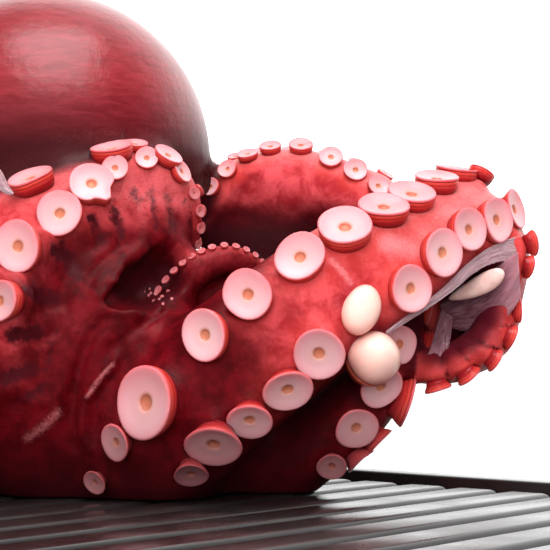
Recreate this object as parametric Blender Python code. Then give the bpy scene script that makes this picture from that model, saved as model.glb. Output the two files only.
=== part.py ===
"""A boiled octopus resting on a dark ribbed serving tray.

Lengths in the constants are millimetres and become metres where a mesh is made. The octopus is laid
out about its own middle as it is seen from the front: x to the right, y away, z up from the ribs. It is
then turned about the vertical and set down on the tray, whose ribs run along y.
"""

import math

import bmesh
import bpy
import numpy as np
from mathutils import Vector

for left_over in list(bpy.data.objects):
    bpy.data.objects.remove(left_over, do_unlink=True)

MILLIMETRE = 0.001

# The tray: one moulding with a flat underside, a low rim and eighteen flat-topped ribs.
TRAY_LENGTH = 378.0
TRAY_DEPTH = 244.0
FLOOR_THICKNESS = 3.0
RIB_HEIGHT = 3.5
RIB_PITCH = 19.6
RIB_COUNT = 18
RIB_TOP_WIDTH = 13.0
RIB_FOOT_WIDTH = 16.0
RIB_LENGTH = 210.0
RIB_END_SLOPE = 6.0
RIM_HEIGHT = 5.5
RIM_WIDTH = 9.0
RIM_SLOPE = 2.5
RIB_SINK = 0.8
CORNER_RADIUS = 14.0
CORNER_STEPS = 5

# Where the octopus stands on the tray, and how far it is turned about the vertical.
OCTOPUS_TURN = math.radians(40.7)
OCTOPUS_OFFSET = (-14.9, 27.5)
RESTING_GAP = 0.3

# The bag of the body and the masses below it: middle, then half sizes.
MANTLE = ((-35.0, 35.0, 110.5), (57.5, 57.5, 58.0))
HEAD = ((-32.0, 26.0, 62.0), (44.0, 40.0, 38.0))
CROWN = ((-2.0, 8.0, 27.0), (58.0, 48.0, 35.0))
FRONT_WEB = ((-14.0, -13.0, 38.0), (38.0, 31.0, 48.0))
UPPER_WEB = ((-12.0, -10.0, 72.0), (31.0, 21.0, 30.0))
LEFT_WEB = ((-52.0, 4.0, 30.0), (36.0, 34.0, 32.0))
BOWL_WALL = ((54.0, 33.0, 76.0), (36.0, 8.0, 27.0))
BOWL_FLOOR = ((30.0, 12.0, 60.0), (32.0, 22.0, 15.0))
CURL_WEB = ((103.0, 7.0, 62.0), (21.0, 6.0, 22.0))
LUMPS = (HEAD, CROWN, FRONT_WEB, UPPER_WEB, LEFT_WEB, BOWL_WALL, BOWL_FLOOR, CURL_WEB)
SWOLLEN_SUCKER = ((75.0, -38.0, 43.5), (8.0, 8.0, 8.0))
BLANK_SUCKER = ((70.0, -40.0, 57.0), (5.5, 4.5, 8.0))
TORN_STRIP = ((95.5, -13.0, 51.5), (3.2, 2.2, 15.0))
TORN_PARTS = (SWOLLEN_SUCKER, BLANK_SUCKER, TORN_STRIP)
EYES = (((-76.0, 14.0, 66.0), (9.0, 9.0, 9.0)), ((4.0, 52.0, 66.0), (9.0, 9.0, 9.0)))
BODY_SEGMENTS = 24
BODY_RINGS = 14
LUMP_SEGMENTS = 16
LUMP_RINGS = 9
SMALL_SEGMENTS = 10
SMALL_RINGS = 6

# Each arm is a row of stations from its root to its tip: x, y, z of the middle line, half width,
# half thickness, and the direction that the suckered side faces.
ARM_ROUTES = {
    "front": [
        (9, -15, -6, 20, 14, (-0.1, -0.5, -0.9)),
        (6, -29, 9, 22, 17, (-0.3, -0.93, -0.25)),
        (16, -35, 23, 22.5, 17, (-0.15, -1.0, 0.0)),
        (30, -36, 37, 23, 17, (0.0, -1.0, 0.05)),
        (44, -35, 48, 22.5, 17, (0.0, -1.0, 0.12)),
        (58, -31, 59, 21.5, 16, (0.05, -0.95, 0.28)),
        (73, -25, 69, 20, 14.5, (0.15, -0.88, 0.42)),
        (88, -17, 76, 18, 12.5, (0.32, -0.75, 0.55)),
        (101, -7, 84, 17.5, 11, (0.5, -0.5, 0.7)),
        (113, -1, 86, 16, 9, (0.8, -0.3, 0.5)),
        (120, 1, 76, 12.5, 7.5, (1.0, -0.15, 0.0)),
        (120, -2, 61, 11.5, 7, (0.95, -0.1, -0.2)),
        (115, -7, 49, 10.5, 6.5, (0.7, -0.1, -0.7)),
        (105, -11, 42, 9.5, 6, (0.35, -0.1, -0.95)),
        (95, -14, 39, 7.5, 5, (0.1, -0.1, -1.0)),
        (88, -15, 40, 4.5, 3.5, (-0.3, 0.0, -1.0)),
    ],
    "front right": [
        (35, 0, -1, 16, 15, (0.5, -0.4, -0.8)),
        (47, -10, 7, 14, 14, (0.6, -0.6, -0.5)),
        (60, -16, 17, 12.5, 12.5, (0.7, -0.65, -0.4)),
        (73, -16, 30, 11.5, 11.5, (0.75, -0.6, -0.25)),
        (82, -10, 45, 10.5, 10.5, (0.8, -0.5, 0.0)),
        (85, 2, 58, 8.5, 8, (0.9, -0.3, 0.3)),
        (79, 13, 67, 6, 5, (0.3, 0.0, 0.9)),
    ],
    "front left": [
        (-14, -10, -3, 20, 17, (-0.3, -0.6, -0.8)),
        (-31, -23, 17, 22, 19, (-0.6, -0.8, -0.2)),
        (-44, -30, 38, 23, 19, (-0.8, -0.6, 0.1)),
        (-43, -31, 59, 22, 18, (-0.7, -0.75, 0.2)),
        (-35, -25, 74, 20.5, 17.5, (-0.35, -0.85, 0.4)),
        (-22, -19, 85, 18.5, 16, (-0.12, -0.85, 0.5)),
        (-11, -14, 93, 16, 14, (0.0, -0.8, 0.6)),
        (-1, -10, 98, 12, 11.5, (0.2, -0.7, 0.7)),
        (8, -7, 99, 10.5, 10, (0.5, -0.45, 0.7)),
        (14, -4, 91, 9, 8, (0.95, -0.1, 0.3)),
        (15, -1, 81, 7, 6, (1.0, 0.0, 0.0)),
        (11, 3, 72, 5, 4, (1.0, 0.0, -0.4)),
    ],
    "inner": [
        (5, -8, 51, 8, 7, (-1.0, 0.0, 0.2)),
        (9, -14, 62, 7, 6, (-1.0, 0.0, 0.2)),
        (13, -15, 69, 6, 5, (-0.8, 0.0, 0.6)),
        (20, -13, 74, 5.2, 4.5, (-0.3, 0.0, 1.0)),
        (27, -11, 76, 4.4, 3.8, (0.0, 0.0, 1.0)),
        (34, -9, 75, 3.7, 3.2, (0.3, 0.0, 0.9)),
        (39, -7, 70, 3, 2.6, (0.9, 0.0, 0.4)),
        (41, -4, 65, 2.4, 2.2, (1.0, 0.0, 0.0)),
    ],
    "rear right": [
        (48, 10, 26, 19, 15, (0.7, 0.3, -0.6)),
        (74, 15, 38, 19, 15, (0.8, 0.4, -0.4)),
        (89, 22, 72, 18, 13, (0.8, 0.6, 0.1)),
        (84, 25, 87, 14.5, 14, (0.7, 0.1, 0.7)),
        (69, 31, 97, 13.5, 13.5, (0.3, 0.0, 1.0)),
        (51, 35, 102, 13, 13, (0.0, 0.0, 1.0)),
        (33, 38, 100, 12, 12, (-0.15, 0.0, 1.0)),
        (21, 38, 96, 9, 9, (-0.4, 0.0, 0.9)),
        (15, 36, 88, 7, 7, (-0.9, 0.0, 0.4)),
    ],
    "left": [
        (-42, 0, 16, 20, 15, (-0.3, -0.3, -0.9)),
        (-76, -8, 17, 19, 15, (-0.3, -0.3, -0.9)),
        (-103, 0, 28, 17, 13, (-0.9, -0.3, -0.3)),
        (-114, 18, 48, 14, 11, (-1.0, 0.0, 0.1)),
        (-108, 36, 66, 11, 9, (-0.6, 0.3, 0.8)),
        (-94, 48, 70, 8, 7, (0.2, 0.6, 0.8)),
        (-84, 58, 62, 5, 4.5, (0.3, 0.9, 0.0)),
    ],
    "rear left": [
        (-38, 34, 18, 20, 15, (-0.2, 0.2, -0.9)),
        (-66, 62, 16, 19, 15, (-0.3, 0.3, -0.9)),
        (-88, 86, 25, 17, 13, (-0.6, 0.7, -0.3)),
        (-92, 98, 45, 14, 11, (-0.6, 0.8, 0.2)),
        (-80, 96, 62, 11, 9, (0.0, 0.6, 0.8)),
        (-62, 92, 64, 8, 7, (0.6, 0.2, 0.8)),
        (-50, 90, 54, 5, 4.5, (0.9, 0.3, 0.0)),
    ],
    "rear": [
        (6, 36, 18, 19, 15, (0.0, 0.3, -0.9)),
        (14, 62, 17, 18, 14, (0.1, 0.5, -0.8)),
        (18, 80, 30, 15, 11, (0.1, 0.95, -0.2)),
        (12, 86, 48, 12, 9, (0.0, 0.95, 0.3)),
        (-2, 84, 60, 9, 7, (-0.5, 0.5, 0.7)),
        (-14, 80, 54, 6, 5, (-0.9, 0.4, 0.0)),
    ],
}
ARM_SIDES = 10
ARM_STEP = 8.0

# Suckers stand in two rows. Radii follow the arm's half width; a sucker is a short flaring cup.
SUCKER_SIDES = 7
SUCKER_PER_WIDTH = {"front": 0.42, "front right": 0.6, "front left": 0.38, "rear right": 0.36}
USUAL_PER_WIDTH = 0.4
SUCKER_LARGEST = 7.6
SUCKER_SMALLEST = 2.6
SUCKER_SPACING = 2.15
SUCKER_SPLAY = math.radians(34.0)
SUCKER_LEAN = math.radians(40.0)
SUCKER_FOOT = 0.55
SUCKER_SINK = 0.75
SUCKER_RISE = 0.45
FIRST_SUCKER = 20.0
ROOT_SHARE = 0.5
ROOT_LENGTH = 24.0

SKIN_COLOUR = (0.42, 0.03, 0.035, 1.0)
TRAY_COLOUR = (0.035, 0.028, 0.027, 1.0)


def make_material(name, colour, roughness):
    material = bpy.data.materials.new(name)
    material.use_nodes = True
    shader = material.node_tree.nodes["Principled BSDF"]
    shader.inputs["Base Color"].default_value = colour
    shader.inputs["Roughness"].default_value = roughness
    return material


def make_object(name, points, faces, smooth=True):
    """Closed mesh from points in millimetres, with all faces turned outward."""
    mesh = bpy.data.meshes.new(name)
    mesh.from_pydata([Vector(p) * MILLIMETRE for p in points], [], faces)
    shell = bmesh.new()
    shell.from_mesh(mesh)
    bmesh.ops.recalc_face_normals(shell, faces=shell.faces)
    shell.to_mesh(mesh)
    shell.free()
    for face in mesh.polygons:
        face.use_smooth = smooth
    made = bpy.data.objects.new(name, mesh)
    bpy.context.scene.collection.objects.link(made)
    return made


def rings_to_faces(ring_count, sides):
    """Quads between rings of points, with the first and last ring closed to one point each."""
    faces = []
    for ring in range(ring_count - 1):
        for side in range(sides):
            after = (side + 1) % sides
            low = ring * sides
            high = low + sides
            faces.append((low + side, low + after, high + after, high + side))
    first_point = ring_count * sides
    last_ring = (ring_count - 1) * sides
    for side in range(sides):
        after = (side + 1) % sides
        faces.append((after, side, first_point))
        faces.append((last_ring + side, last_ring + after, first_point + 1))
    return faces


def make_lump(name, middle, half_sizes, segments, ring_count):
    """Egg or pad: a sphere stretched to three half sizes."""
    points = []
    for ring in range(1, ring_count):
        fall = math.pi * ring / ring_count
        for segment in range(segments):
            turn = 2.0 * math.pi * segment / segments
            unit = (math.sin(fall) * math.cos(turn), math.sin(fall) * math.sin(turn), math.cos(fall))
            points.append([c + h * u for c, h, u in zip(middle, half_sizes, unit)])
    x, y, z = middle
    points.append((x, y, z + half_sizes[2]))
    points.append((x, y, z - half_sizes[2]))
    return make_object(name, points, rings_to_faces(ring_count - 1, segments))


def blend(rows, place):
    """Smooth curve through the rows (one per whole number), read at place."""
    last = len(rows) - 1
    index = min(int(place), last - 1)
    part = place - index
    before = rows[max(index - 1, 0)]
    here = rows[index]
    there = rows[index + 1]
    after = rows[min(index + 2, last)]
    lift = 2.0 * here + (there - before) * part
    bow = (2.0 * before - 5.0 * here + 4.0 * there - after) * part**2
    twist = (3.0 * here - before - 3.0 * there + after) * part**3
    return 0.5 * (lift + bow + twist)


def walk_arm(route):
    """Cross sections along an arm: distance, middle, tangent, sucker side, across, two half sizes."""
    rows = np.array([list(row[:5]) + list(row[5]) for row in route], dtype=float)
    fine = np.linspace(0.0, len(rows) - 1.0, 24 * (len(rows) - 1) + 1)
    track = np.array([blend(rows, place) for place in fine])
    legs = np.linalg.norm(np.diff(track[:, :3], axis=0), axis=1)
    run = np.concatenate([[0.0], np.cumsum(legs)])
    tangents = np.gradient(track[:, :3], axis=0)

    def section(distance):
        values = [np.interp(distance, run, track[:, column]) for column in range(8)]
        along = Vector([np.interp(distance, run, tangents[:, column]) for column in range(3)])
        along.normalize()
        facing = Vector(values[5:8])
        facing = (facing - along * facing.dot(along)).normalized()
        across = along.cross(facing).normalized()
        return Vector(values[:3]), along, facing, across, values[3], values[4]

    return float(run[-1]), section


def make_arm(name, route):
    length, section = walk_arm(route)
    count = max(4, round(length / ARM_STEP))
    points = []
    for ring in range(count + 1):
        middle, along, facing, across, wide, thick = section(length * ring / count)
        for side in range(ARM_SIDES):
            turn = 2.0 * math.pi * (side + 0.5) / ARM_SIDES
            points.append(middle + across * (wide * math.sin(turn)) + facing * (thick * math.cos(turn)))
    middle, along, facing, across, wide, thick = section(0.0)
    points.append(middle - along * thick * 0.5)
    middle, along, facing, across, wide, thick = section(length)
    points.append(middle + along * thick)
    return make_object(name, points, rings_to_faces(count + 1, ARM_SIDES))


def make_sucker(name, middle, outward, radius):
    """A short cup that flares from a narrow foot in the arm to a flat round face."""
    aside = outward.orthogonal().normalized()
    ahead = outward.cross(aside)
    points = []
    for reach, height in ((SUCKER_FOOT, -SUCKER_SINK), (1.0, SUCKER_RISE)):
        for side in range(SUCKER_SIDES):
            turn = 2.0 * math.pi * side / SUCKER_SIDES
            ray = aside * math.cos(turn) + ahead * math.sin(turn)
            points.append(middle + outward * (radius * height) + ray * (radius * reach))
    ring = list(range(SUCKER_SIDES))
    faces = [tuple(reversed(ring)), tuple(side + SUCKER_SIDES for side in ring)]
    for side in ring:
        after = (side + 1) % SUCKER_SIDES
        faces.append((side, after, after + SUCKER_SIDES, side + SUCKER_SIDES))
    return make_object(name, points, faces)


def make_suckers(name, route):
    """Two staggered rows that shrink with the arm, one sucker after another by its own size."""
    length, section = walk_arm(route)
    per_width = SUCKER_PER_WIDTH.get(name, USUAL_PER_WIDTH)
    made = []
    for row in (-1, 1):
        distance = FIRST_SUCKER + (0.0 if row < 0 else 0.5 * SUCKER_LARGEST)
        while distance < length:
            middle, along, facing, across, wide, thick = section(distance)
            grown = min(1.0, ROOT_SHARE + (distance - FIRST_SUCKER) / ROOT_LENGTH)
            radius = min(SUCKER_LARGEST, wide * per_width)
            if radius < SUCKER_SMALLEST:
                break
            radius *= grown
            seat_side = across * (wide * math.sin(SUCKER_SPLAY) * row)
            seat = middle + seat_side + facing * (thick * math.cos(SUCKER_SPLAY))
            outward = across * (math.sin(SUCKER_LEAN) * row) + facing * math.cos(SUCKER_LEAN)
            made.append(make_sucker(f"{name} sucker {len(made)}", seat, outward, radius))
            distance += SUCKER_SPACING * radius
    return made


def apply_modifier(target, modifier):
    """Make the modifier's result the object's own mesh."""
    name = modifier.name
    bpy.context.view_layer.update()
    seen = target.evaluated_get(bpy.context.evaluated_depsgraph_get())
    result = bpy.data.meshes.new_from_object(seen)
    old = target.data
    target.modifiers.remove(target.modifiers[name])
    target.data = result
    bpy.data.meshes.remove(old)


def combine(target, others, operation):
    """One Boolean of the target with a group of closed pieces, which are then removed."""
    group = bpy.data.collections.new(f"{target.name} {operation.lower()}")
    bpy.context.scene.collection.children.link(group)
    for other in others:
        bpy.context.scene.collection.objects.unlink(other)
        group.objects.link(other)
    modifier = target.modifiers.new("combine", "BOOLEAN")
    modifier.operation = operation
    modifier.operand_type = "COLLECTION"
    modifier.collection = group
    modifier.solver = "MANIFOLD"
    apply_modifier(target, modifier)
    for other in list(others):
        bpy.data.objects.remove(other, do_unlink=True)
    bpy.data.collections.remove(group)


def keep_outer_skin(target):
    """Drop scraps and the skins of sealed hollows: only the largest closed shell stays."""
    shell = bmesh.new()
    shell.from_mesh(target.data)
    unseen = set(shell.faces)
    groups = []
    while unseen:
        stack = [unseen.pop()]
        group = []
        while stack:
            face = stack.pop()
            group.append(face)
            for edge in face.edges:
                for other in edge.link_faces:
                    if other in unseen:
                        unseen.remove(other)
                        stack.append(other)
        groups.append(group)
    groups.sort(key=len)
    for group in groups[:-1]:
        bmesh.ops.delete(shell, geom=group, context="FACES")
    bmesh.ops.triangulate(shell, faces=shell.faces)
    shell.to_mesh(target.data)
    shell.free()
    return len(groups)


def make_box(name, low, high):
    points = [(x, y, z) for x in (low[0], high[0]) for y in (low[1], high[1]) for z in (low[2], high[2])]
    faces = [(0, 1, 3, 2), (4, 6, 7, 5), (0, 4, 5, 1), (2, 3, 7, 6), (0, 2, 6, 4), (1, 5, 7, 3)]
    return make_object(name, points, faces, smooth=False)


def make_octopus():
    """The whole animal as one solid, cut off level just above the ribs it rests on."""
    octopus = make_lump("octopus", *MANTLE, BODY_SEGMENTS, BODY_RINGS)
    parts = []
    for number, (middle, half_sizes) in enumerate(LUMPS):
        parts.append(make_lump(f"body {number}", middle, half_sizes, LUMP_SEGMENTS, LUMP_RINGS))
    for number, (middle, half_sizes) in enumerate(EYES + TORN_PARTS):
        parts.append(make_lump(f"small {number}", middle, half_sizes, SMALL_SEGMENTS, SMALL_RINGS))
    for name, route in ARM_ROUTES.items():
        parts.append(make_arm(f"{name} arm", route))
        parts.extend(make_suckers(name, route))
    combine(octopus, parts, "UNION")
    below = make_box("below", (-300.0, -300.0, -100.0), (300.0, 300.0, RESTING_GAP))
    combine(octopus, [below], "DIFFERENCE")
    keep_outer_skin(octopus)
    rib_top = FLOOR_THICKNESS + RIB_HEIGHT
    for vertex in octopus.data.vertices:
        x, y, z = vertex.co
        vertex.co.x = x * math.cos(OCTOPUS_TURN) - y * math.sin(OCTOPUS_TURN) + OCTOPUS_OFFSET[0] * MILLIMETRE
        vertex.co.y = x * math.sin(OCTOPUS_TURN) + y * math.cos(OCTOPUS_TURN) + OCTOPUS_OFFSET[1] * MILLIMETRE
        vertex.co.z = z + rib_top * MILLIMETRE
    octopus.data.materials.append(make_material("octopus skin", SKIN_COLOUR, 0.3))
    return octopus


def rounded_outline(length, depth, radius):
    """Corner points, counter-clockwise, of a rectangle with rounded corners about the origin."""
    outline = []
    for turn, sign_x, sign_y in ((0, 1, 1), (1, -1, 1), (2, -1, -1), (3, 1, -1)):
        for step in range(CORNER_STEPS + 1):
            angle = 0.5 * math.pi * (turn + step / CORNER_STEPS)
            x = sign_x * (0.5 * length - radius) + radius * math.cos(angle)
            y = sign_y * (0.5 * depth - radius) + radius * math.sin(angle)
            outline.append((x, y))
    return outline


def make_tray():
    """Shallow dish: outside wall, rounded rim, sloping inside wall and floor, with the ribs joined on."""
    rim_top = FLOOR_THICKNESS + RIM_HEIGHT
    levels = (
        (0.0, 0.0),
        (0.0, rim_top),
        (RIM_WIDTH, rim_top),
        (RIM_WIDTH + RIM_SLOPE, FLOOR_THICKNESS),
    )
    points = []
    for inset, height in levels:
        for x, y in rounded_outline(TRAY_LENGTH - 2 * inset, TRAY_DEPTH - 2 * inset, CORNER_RADIUS - inset):
            points.append((x, y, height))
    sides = len(points) // len(levels)
    faces = []
    for level in range(len(levels) - 1):
        for side in range(sides):
            after = (side + 1) % sides
            low = level * sides
            faces.append((low + side, low + after, low + sides + after, low + sides + side))
    faces.append(tuple(reversed(range(sides))))
    faces.append(tuple(range((len(levels) - 1) * sides, len(levels) * sides)))
    tray = make_object("tray", points, faces, smooth=False)
    ribs = []
    for number in range(RIB_COUNT):
        x = (number - 0.5 * (RIB_COUNT - 1)) * RIB_PITCH
        ribs.append(make_rib(f"rib {number}", x))
    combine(tray, ribs, "UNION")
    keep_outer_skin(tray)
    tray.data.materials.append(make_material("tray lacquer", TRAY_COLOUR, 0.25))
    return tray


def make_rib(name, x):
    """Flat-topped bar whose long sides and ends slope down to the floor."""
    foot = 0.5 * RIB_FOOT_WIDTH
    top = 0.5 * RIB_TOP_WIDTH
    reach = 0.5 * RIB_LENGTH
    top_height = FLOOR_THICKNESS + RIB_HEIGHT
    points = []
    for half_width, half_length, height in (
        (foot, reach, FLOOR_THICKNESS - RIB_SINK),
        (foot, reach, FLOOR_THICKNESS + 0.4),
        (top, reach - RIB_END_SLOPE, top_height),
    ):
        for sign_x, sign_y in ((-1, -1), (1, -1), (1, 1), (-1, 1)):
            points.append((x + sign_x * half_width, sign_y * half_length, height))
    faces = [(3, 2, 1, 0), (8, 9, 10, 11)]
    for low in (0, 4):
        for side in range(4):
            after = (side + 1) % 4
            faces.append((low + side, low + after, low + 4 + after, low + 4 + side))
    return make_object(name, points, faces, smooth=False)


make_tray()
make_octopus()
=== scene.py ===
import math

import bmesh
import bpy
import numpy as np
from mathutils import Matrix, Vector
from mathutils.bvhtree import BVHTree


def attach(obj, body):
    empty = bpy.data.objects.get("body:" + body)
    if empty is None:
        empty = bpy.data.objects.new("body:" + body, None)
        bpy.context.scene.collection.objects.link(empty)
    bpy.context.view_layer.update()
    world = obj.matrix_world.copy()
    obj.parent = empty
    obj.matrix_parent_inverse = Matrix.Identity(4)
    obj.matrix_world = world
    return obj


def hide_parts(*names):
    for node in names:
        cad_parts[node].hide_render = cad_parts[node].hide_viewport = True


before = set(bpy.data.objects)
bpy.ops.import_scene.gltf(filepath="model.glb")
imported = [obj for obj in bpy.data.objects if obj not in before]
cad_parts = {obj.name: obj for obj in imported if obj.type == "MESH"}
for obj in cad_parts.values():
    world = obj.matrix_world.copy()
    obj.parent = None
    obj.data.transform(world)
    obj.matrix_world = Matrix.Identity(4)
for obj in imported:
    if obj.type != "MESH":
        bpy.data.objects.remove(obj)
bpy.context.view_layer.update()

# Tray
# A shallow serving tray moulded in one piece of dark brown, glossy melamine: flat underside, low rim and
# eighteen flat-topped ribs. The ribs end in soft shoulders just short of the rim.

TRAY_LENGTH, TRAY_DEPTH, TRAY_FLOOR = 0.378, 0.244, 0.003
RIM_TOP, RIM_WIDTH, RIM_SLOPE, RIM_EDGE, CORNER = 0.0085, 0.009, 0.0025, 0.0009, 0.014
RIB_PITCH, RIB_COUNT, RIB_TOP, RIB_LENGTH = 0.0196, 18, 0.0065, 0.210
RIB_FOOT, RIB_BROW, RIB_SHOULDER, RIB_SINK, RIB_EDGE = 0.008, 0.0068, 0.005, 0.0006, 0.0014


def only(piece):
    """Select one object alone and make it active."""
    bpy.ops.object.select_all(action="DESELECT")
    piece.select_set(True)
    bpy.context.view_layer.objects.active = piece


def box_mesh(name, low, high):
    """A box between two corners, as a primitive whose vertices are moved in place."""
    bpy.ops.object.select_all(action="DESELECT")
    bpy.ops.mesh.primitive_cube_add(size=1.0)
    made = bpy.context.object
    made.name = name
    size = [h - l for l, h in zip(low, high)]
    middle = [(l + h) / 2 for l, h in zip(low, high)]
    made.data.transform(Matrix.Translation(middle) @ Matrix.Diagonal((*size, 1.0)))
    return made


def join(pieces, name):
    """Join separate meshes into the first one."""
    bpy.ops.object.select_all(action="DESELECT")
    for piece in pieces:
        piece.select_set(True)
    bpy.context.view_layer.objects.active = pieces[0]
    bpy.ops.object.join()
    joined = bpy.context.object
    joined.name = name
    return joined


def node(tree, kind, links=(), **values):
    """Add a shader node; values set its sockets or properties, links join (socket, from socket)."""
    made = tree.nodes.new(kind)
    for key, value in values.items():
        if hasattr(made, key):
            setattr(made, key, value)
        else:
            made.inputs[key.replace("_", " ")].default_value = value
    for socket, source in links:
        tree.links.new(source, made.inputs[socket])
    return made


def ramp(tree, source, stops):
    """Colour ramp through (place, colour) stops."""
    made = tree.nodes.new("ShaderNodeValToRGB")
    places = made.color_ramp.elements
    while len(places) < len(stops):
        places.new(0.5)
    for element, (place, colour) in zip(places, stops):
        element.position = place
        element.color = (*colour, 1.0)
    tree.links.new(source, made.inputs["Fac"])
    return made.outputs["Color"]


def mix(tree, factor, first, second, blend="MIX"):
    """Colour mix; each argument is a socket or a plain value."""
    made = tree.nodes.new("ShaderNodeMix")
    made.data_type = "RGBA"
    made.blend_type = blend
    for index, value in ((0, factor), (6, first), (7, second)):
        if isinstance(value, bpy.types.NodeSocket):
            tree.links.new(value, made.inputs[index])
        elif index == 0:
            made.inputs[index].default_value = value
        else:
            made.inputs[index].default_value = (*value, 1.0)
    return made.outputs[2]


def math_node(tree, operation, first, second):
    """Sum, product and the like; each argument is a socket or a plain value."""
    made = tree.nodes.new("ShaderNodeMath")
    made.operation = operation
    for index, value in ((0, first), (1, second)):
        if isinstance(value, bpy.types.NodeSocket):
            tree.links.new(value, made.inputs[index])
        else:
            made.inputs[index].default_value = value
    return made.outputs[0]


def plus(tree, first, second):
    return math_node(tree, "ADD", first, second)


def times(tree, first, second):
    return math_node(tree, "MULTIPLY", first, second)


def swing(tree, source, size):
    """A noise round one half, turned into one round zero."""
    return times(tree, math_node(tree, "SUBTRACT", source, 0.5), size)


def remap(tree, source, low, high, out_low=0.0, out_high=1.0):
    made = tree.nodes.new("ShaderNodeMapRange")
    made.interpolation_type = "SMOOTHSTEP"
    tree.links.new(source, made.inputs["Value"])
    for key, value in (("From Min", low), ("From Max", high), ("To Min", out_low), ("To Max", out_high)):
        made.inputs[key].default_value = value
    return made.outputs["Result"]


def new_material(name):
    made = bpy.data.materials.new(name)
    made.use_nodes = True
    tree = made.node_tree
    return made, tree, tree.nodes["Principled BSDF"]


def noise(tree, scale, detail=3.0, roughness=0.55, coords=None, distortion=0.0):
    made = node(tree, "ShaderNodeTexNoise", Scale=scale, Detail=detail, Roughness=roughness)
    made.inputs["Distortion"].default_value = distortion
    if coords is not None:
        tree.links.new(coords, made.inputs["Vector"])
    return made.outputs["Fac"]


def set_shader(tree, shader, **values):
    """Set or link sockets of a shader; an underscore in a name stands for a space."""
    for key, value in values.items():
        socket = shader.inputs[key.replace("_", " ")]
        if isinstance(value, bpy.types.NodeSocket):
            tree.links.new(value, socket)
        else:
            socket.default_value = value


def clothe(piece, material):
    """Give a piece its one material."""
    piece.data.materials.clear()
    piece.data.materials.append(material)


def round_edges(piece, width, segments, sharp=None):
    """Bevel every edge, or only those turned by more than an angle in degrees."""
    rounding = piece.modifiers.new("rounding", "BEVEL")
    rounding.width = width
    rounding.segments = segments
    rounding.limit_method = "ANGLE" if sharp else "NONE"
    if sharp:
        rounding.angle_limit = math.radians(sharp)
    only(piece)
    bpy.ops.object.modifier_apply(modifier="rounding")


def rounded_plate(name, length, depth, corner, low, high):
    """Plate with rounded upright corners, from a cube whose four corner edges are bevelled."""
    plate = box_mesh(name, (-length / 2, -depth / 2, low), (length / 2, depth / 2, high))
    shape = bmesh.new()
    shape.from_mesh(plate.data)
    upright = [e for e in shape.edges if abs(e.verts[0].co.z - e.verts[1].co.z) > (high - low) / 2]
    bmesh.ops.bevel(shape, geom=upright, offset=corner, segments=10, profile=0.5, affect="EDGES")
    shape.to_mesh(plate.data)
    shape.free()
    return plate


tray = rounded_plate("tray", TRAY_LENGTH, TRAY_DEPTH, CORNER, 0.0, RIM_TOP)
only(tray)
bpy.ops.object.mode_set(mode="EDIT")
bpy.ops.mesh.select_all(action="DESELECT")
bpy.ops.object.mode_set(mode="OBJECT")
for face in tray.data.polygons:
    face.select = face.normal.z > 0.9
bpy.ops.object.mode_set(mode="EDIT")
bpy.ops.mesh.inset(thickness=RIM_WIDTH)
bpy.ops.mesh.inset(thickness=RIM_SLOPE)
bpy.ops.transform.translate(value=(0.0, 0.0, TRAY_FLOOR - RIM_TOP))
bpy.ops.object.mode_set(mode="OBJECT")
round_edges(tray, RIM_EDGE, 3, 32)

ribs = []
for number in range(RIB_COUNT):
    x = (number - (RIB_COUNT - 1) / 2) * RIB_PITCH
    reach = RIB_LENGTH / 2
    rib = box_mesh("rib", (x - RIB_FOOT, -reach, TRAY_FLOOR - RIB_SINK), (x + RIB_FOOT, reach, RIB_TOP))
    for vertex in rib.data.vertices:
        if vertex.co.z > TRAY_FLOOR:
            vertex.co.x = x + math.copysign(RIB_BROW, vertex.co.x - x)
            vertex.co.y = math.copysign(reach - RIB_SHOULDER, vertex.co.y)
    round_edges(rib, RIB_EDGE, 4)
    ribs.append(rib)
tray = join([tray] + ribs, "tray")
only(tray)
bpy.ops.object.shade_smooth_by_angle(angle=math.radians(40))

paint, tree, shader = new_material("tray melamine")
place = node(tree, "ShaderNodeTexCoord").outputs["Object"]
cloud = noise(tree, 40.0, 4.0, 0.6, place)
fine = noise(tree, 900.0, 3.0, 0.6, place)
smear = noise(tree, 14.0, 5.0, 0.65, place, 0.6)
body = mix(tree, remap(tree, cloud, 0.35, 0.7), (0.010, 0.008, 0.008), (0.018, 0.014, 0.014))
rough = remap(tree, smear, 0.4, 0.68, 0.24, 0.36)
bump = node(tree, "ShaderNodeBump", [("Height", fine)], Strength=0.05, Distance=0.0003)
set_shader(
    tree, shader, Base_Color=body, Roughness=rough, Normal=bump.outputs["Normal"],
    IOR=1.42, Coat_Weight=0.12, Coat_Roughness=0.12,
)
clothe(tray, paint)
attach(tray, "root")
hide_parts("tray")

# Octopus skin
# Arms, body bag, head and the webs between the arms of one boiled common octopus, joined to one closed skin.
# Routes are millimetres about the animal's middle as seen from the front: x right, y away, z up from the
# ribs, then half width, half thickness and the side that the suckers face. The whole is turned and set down.

TURN = math.radians(40.7)
SET_DOWN = Vector((-0.0149, 0.0275, RIB_TOP))
PLACED = Matrix.Translation(SET_DOWN) @ Matrix.Rotation(TURN, 4, "Z") @ Matrix.Scale(0.001, 4)
SKIN_VOXEL = 1.46
LOWEST = 0.4
BAG_MIDDLE, BAG_SIZES = (-35.0, 35.0, 110.5), (57.5, 57.5, 58.0)

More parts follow.
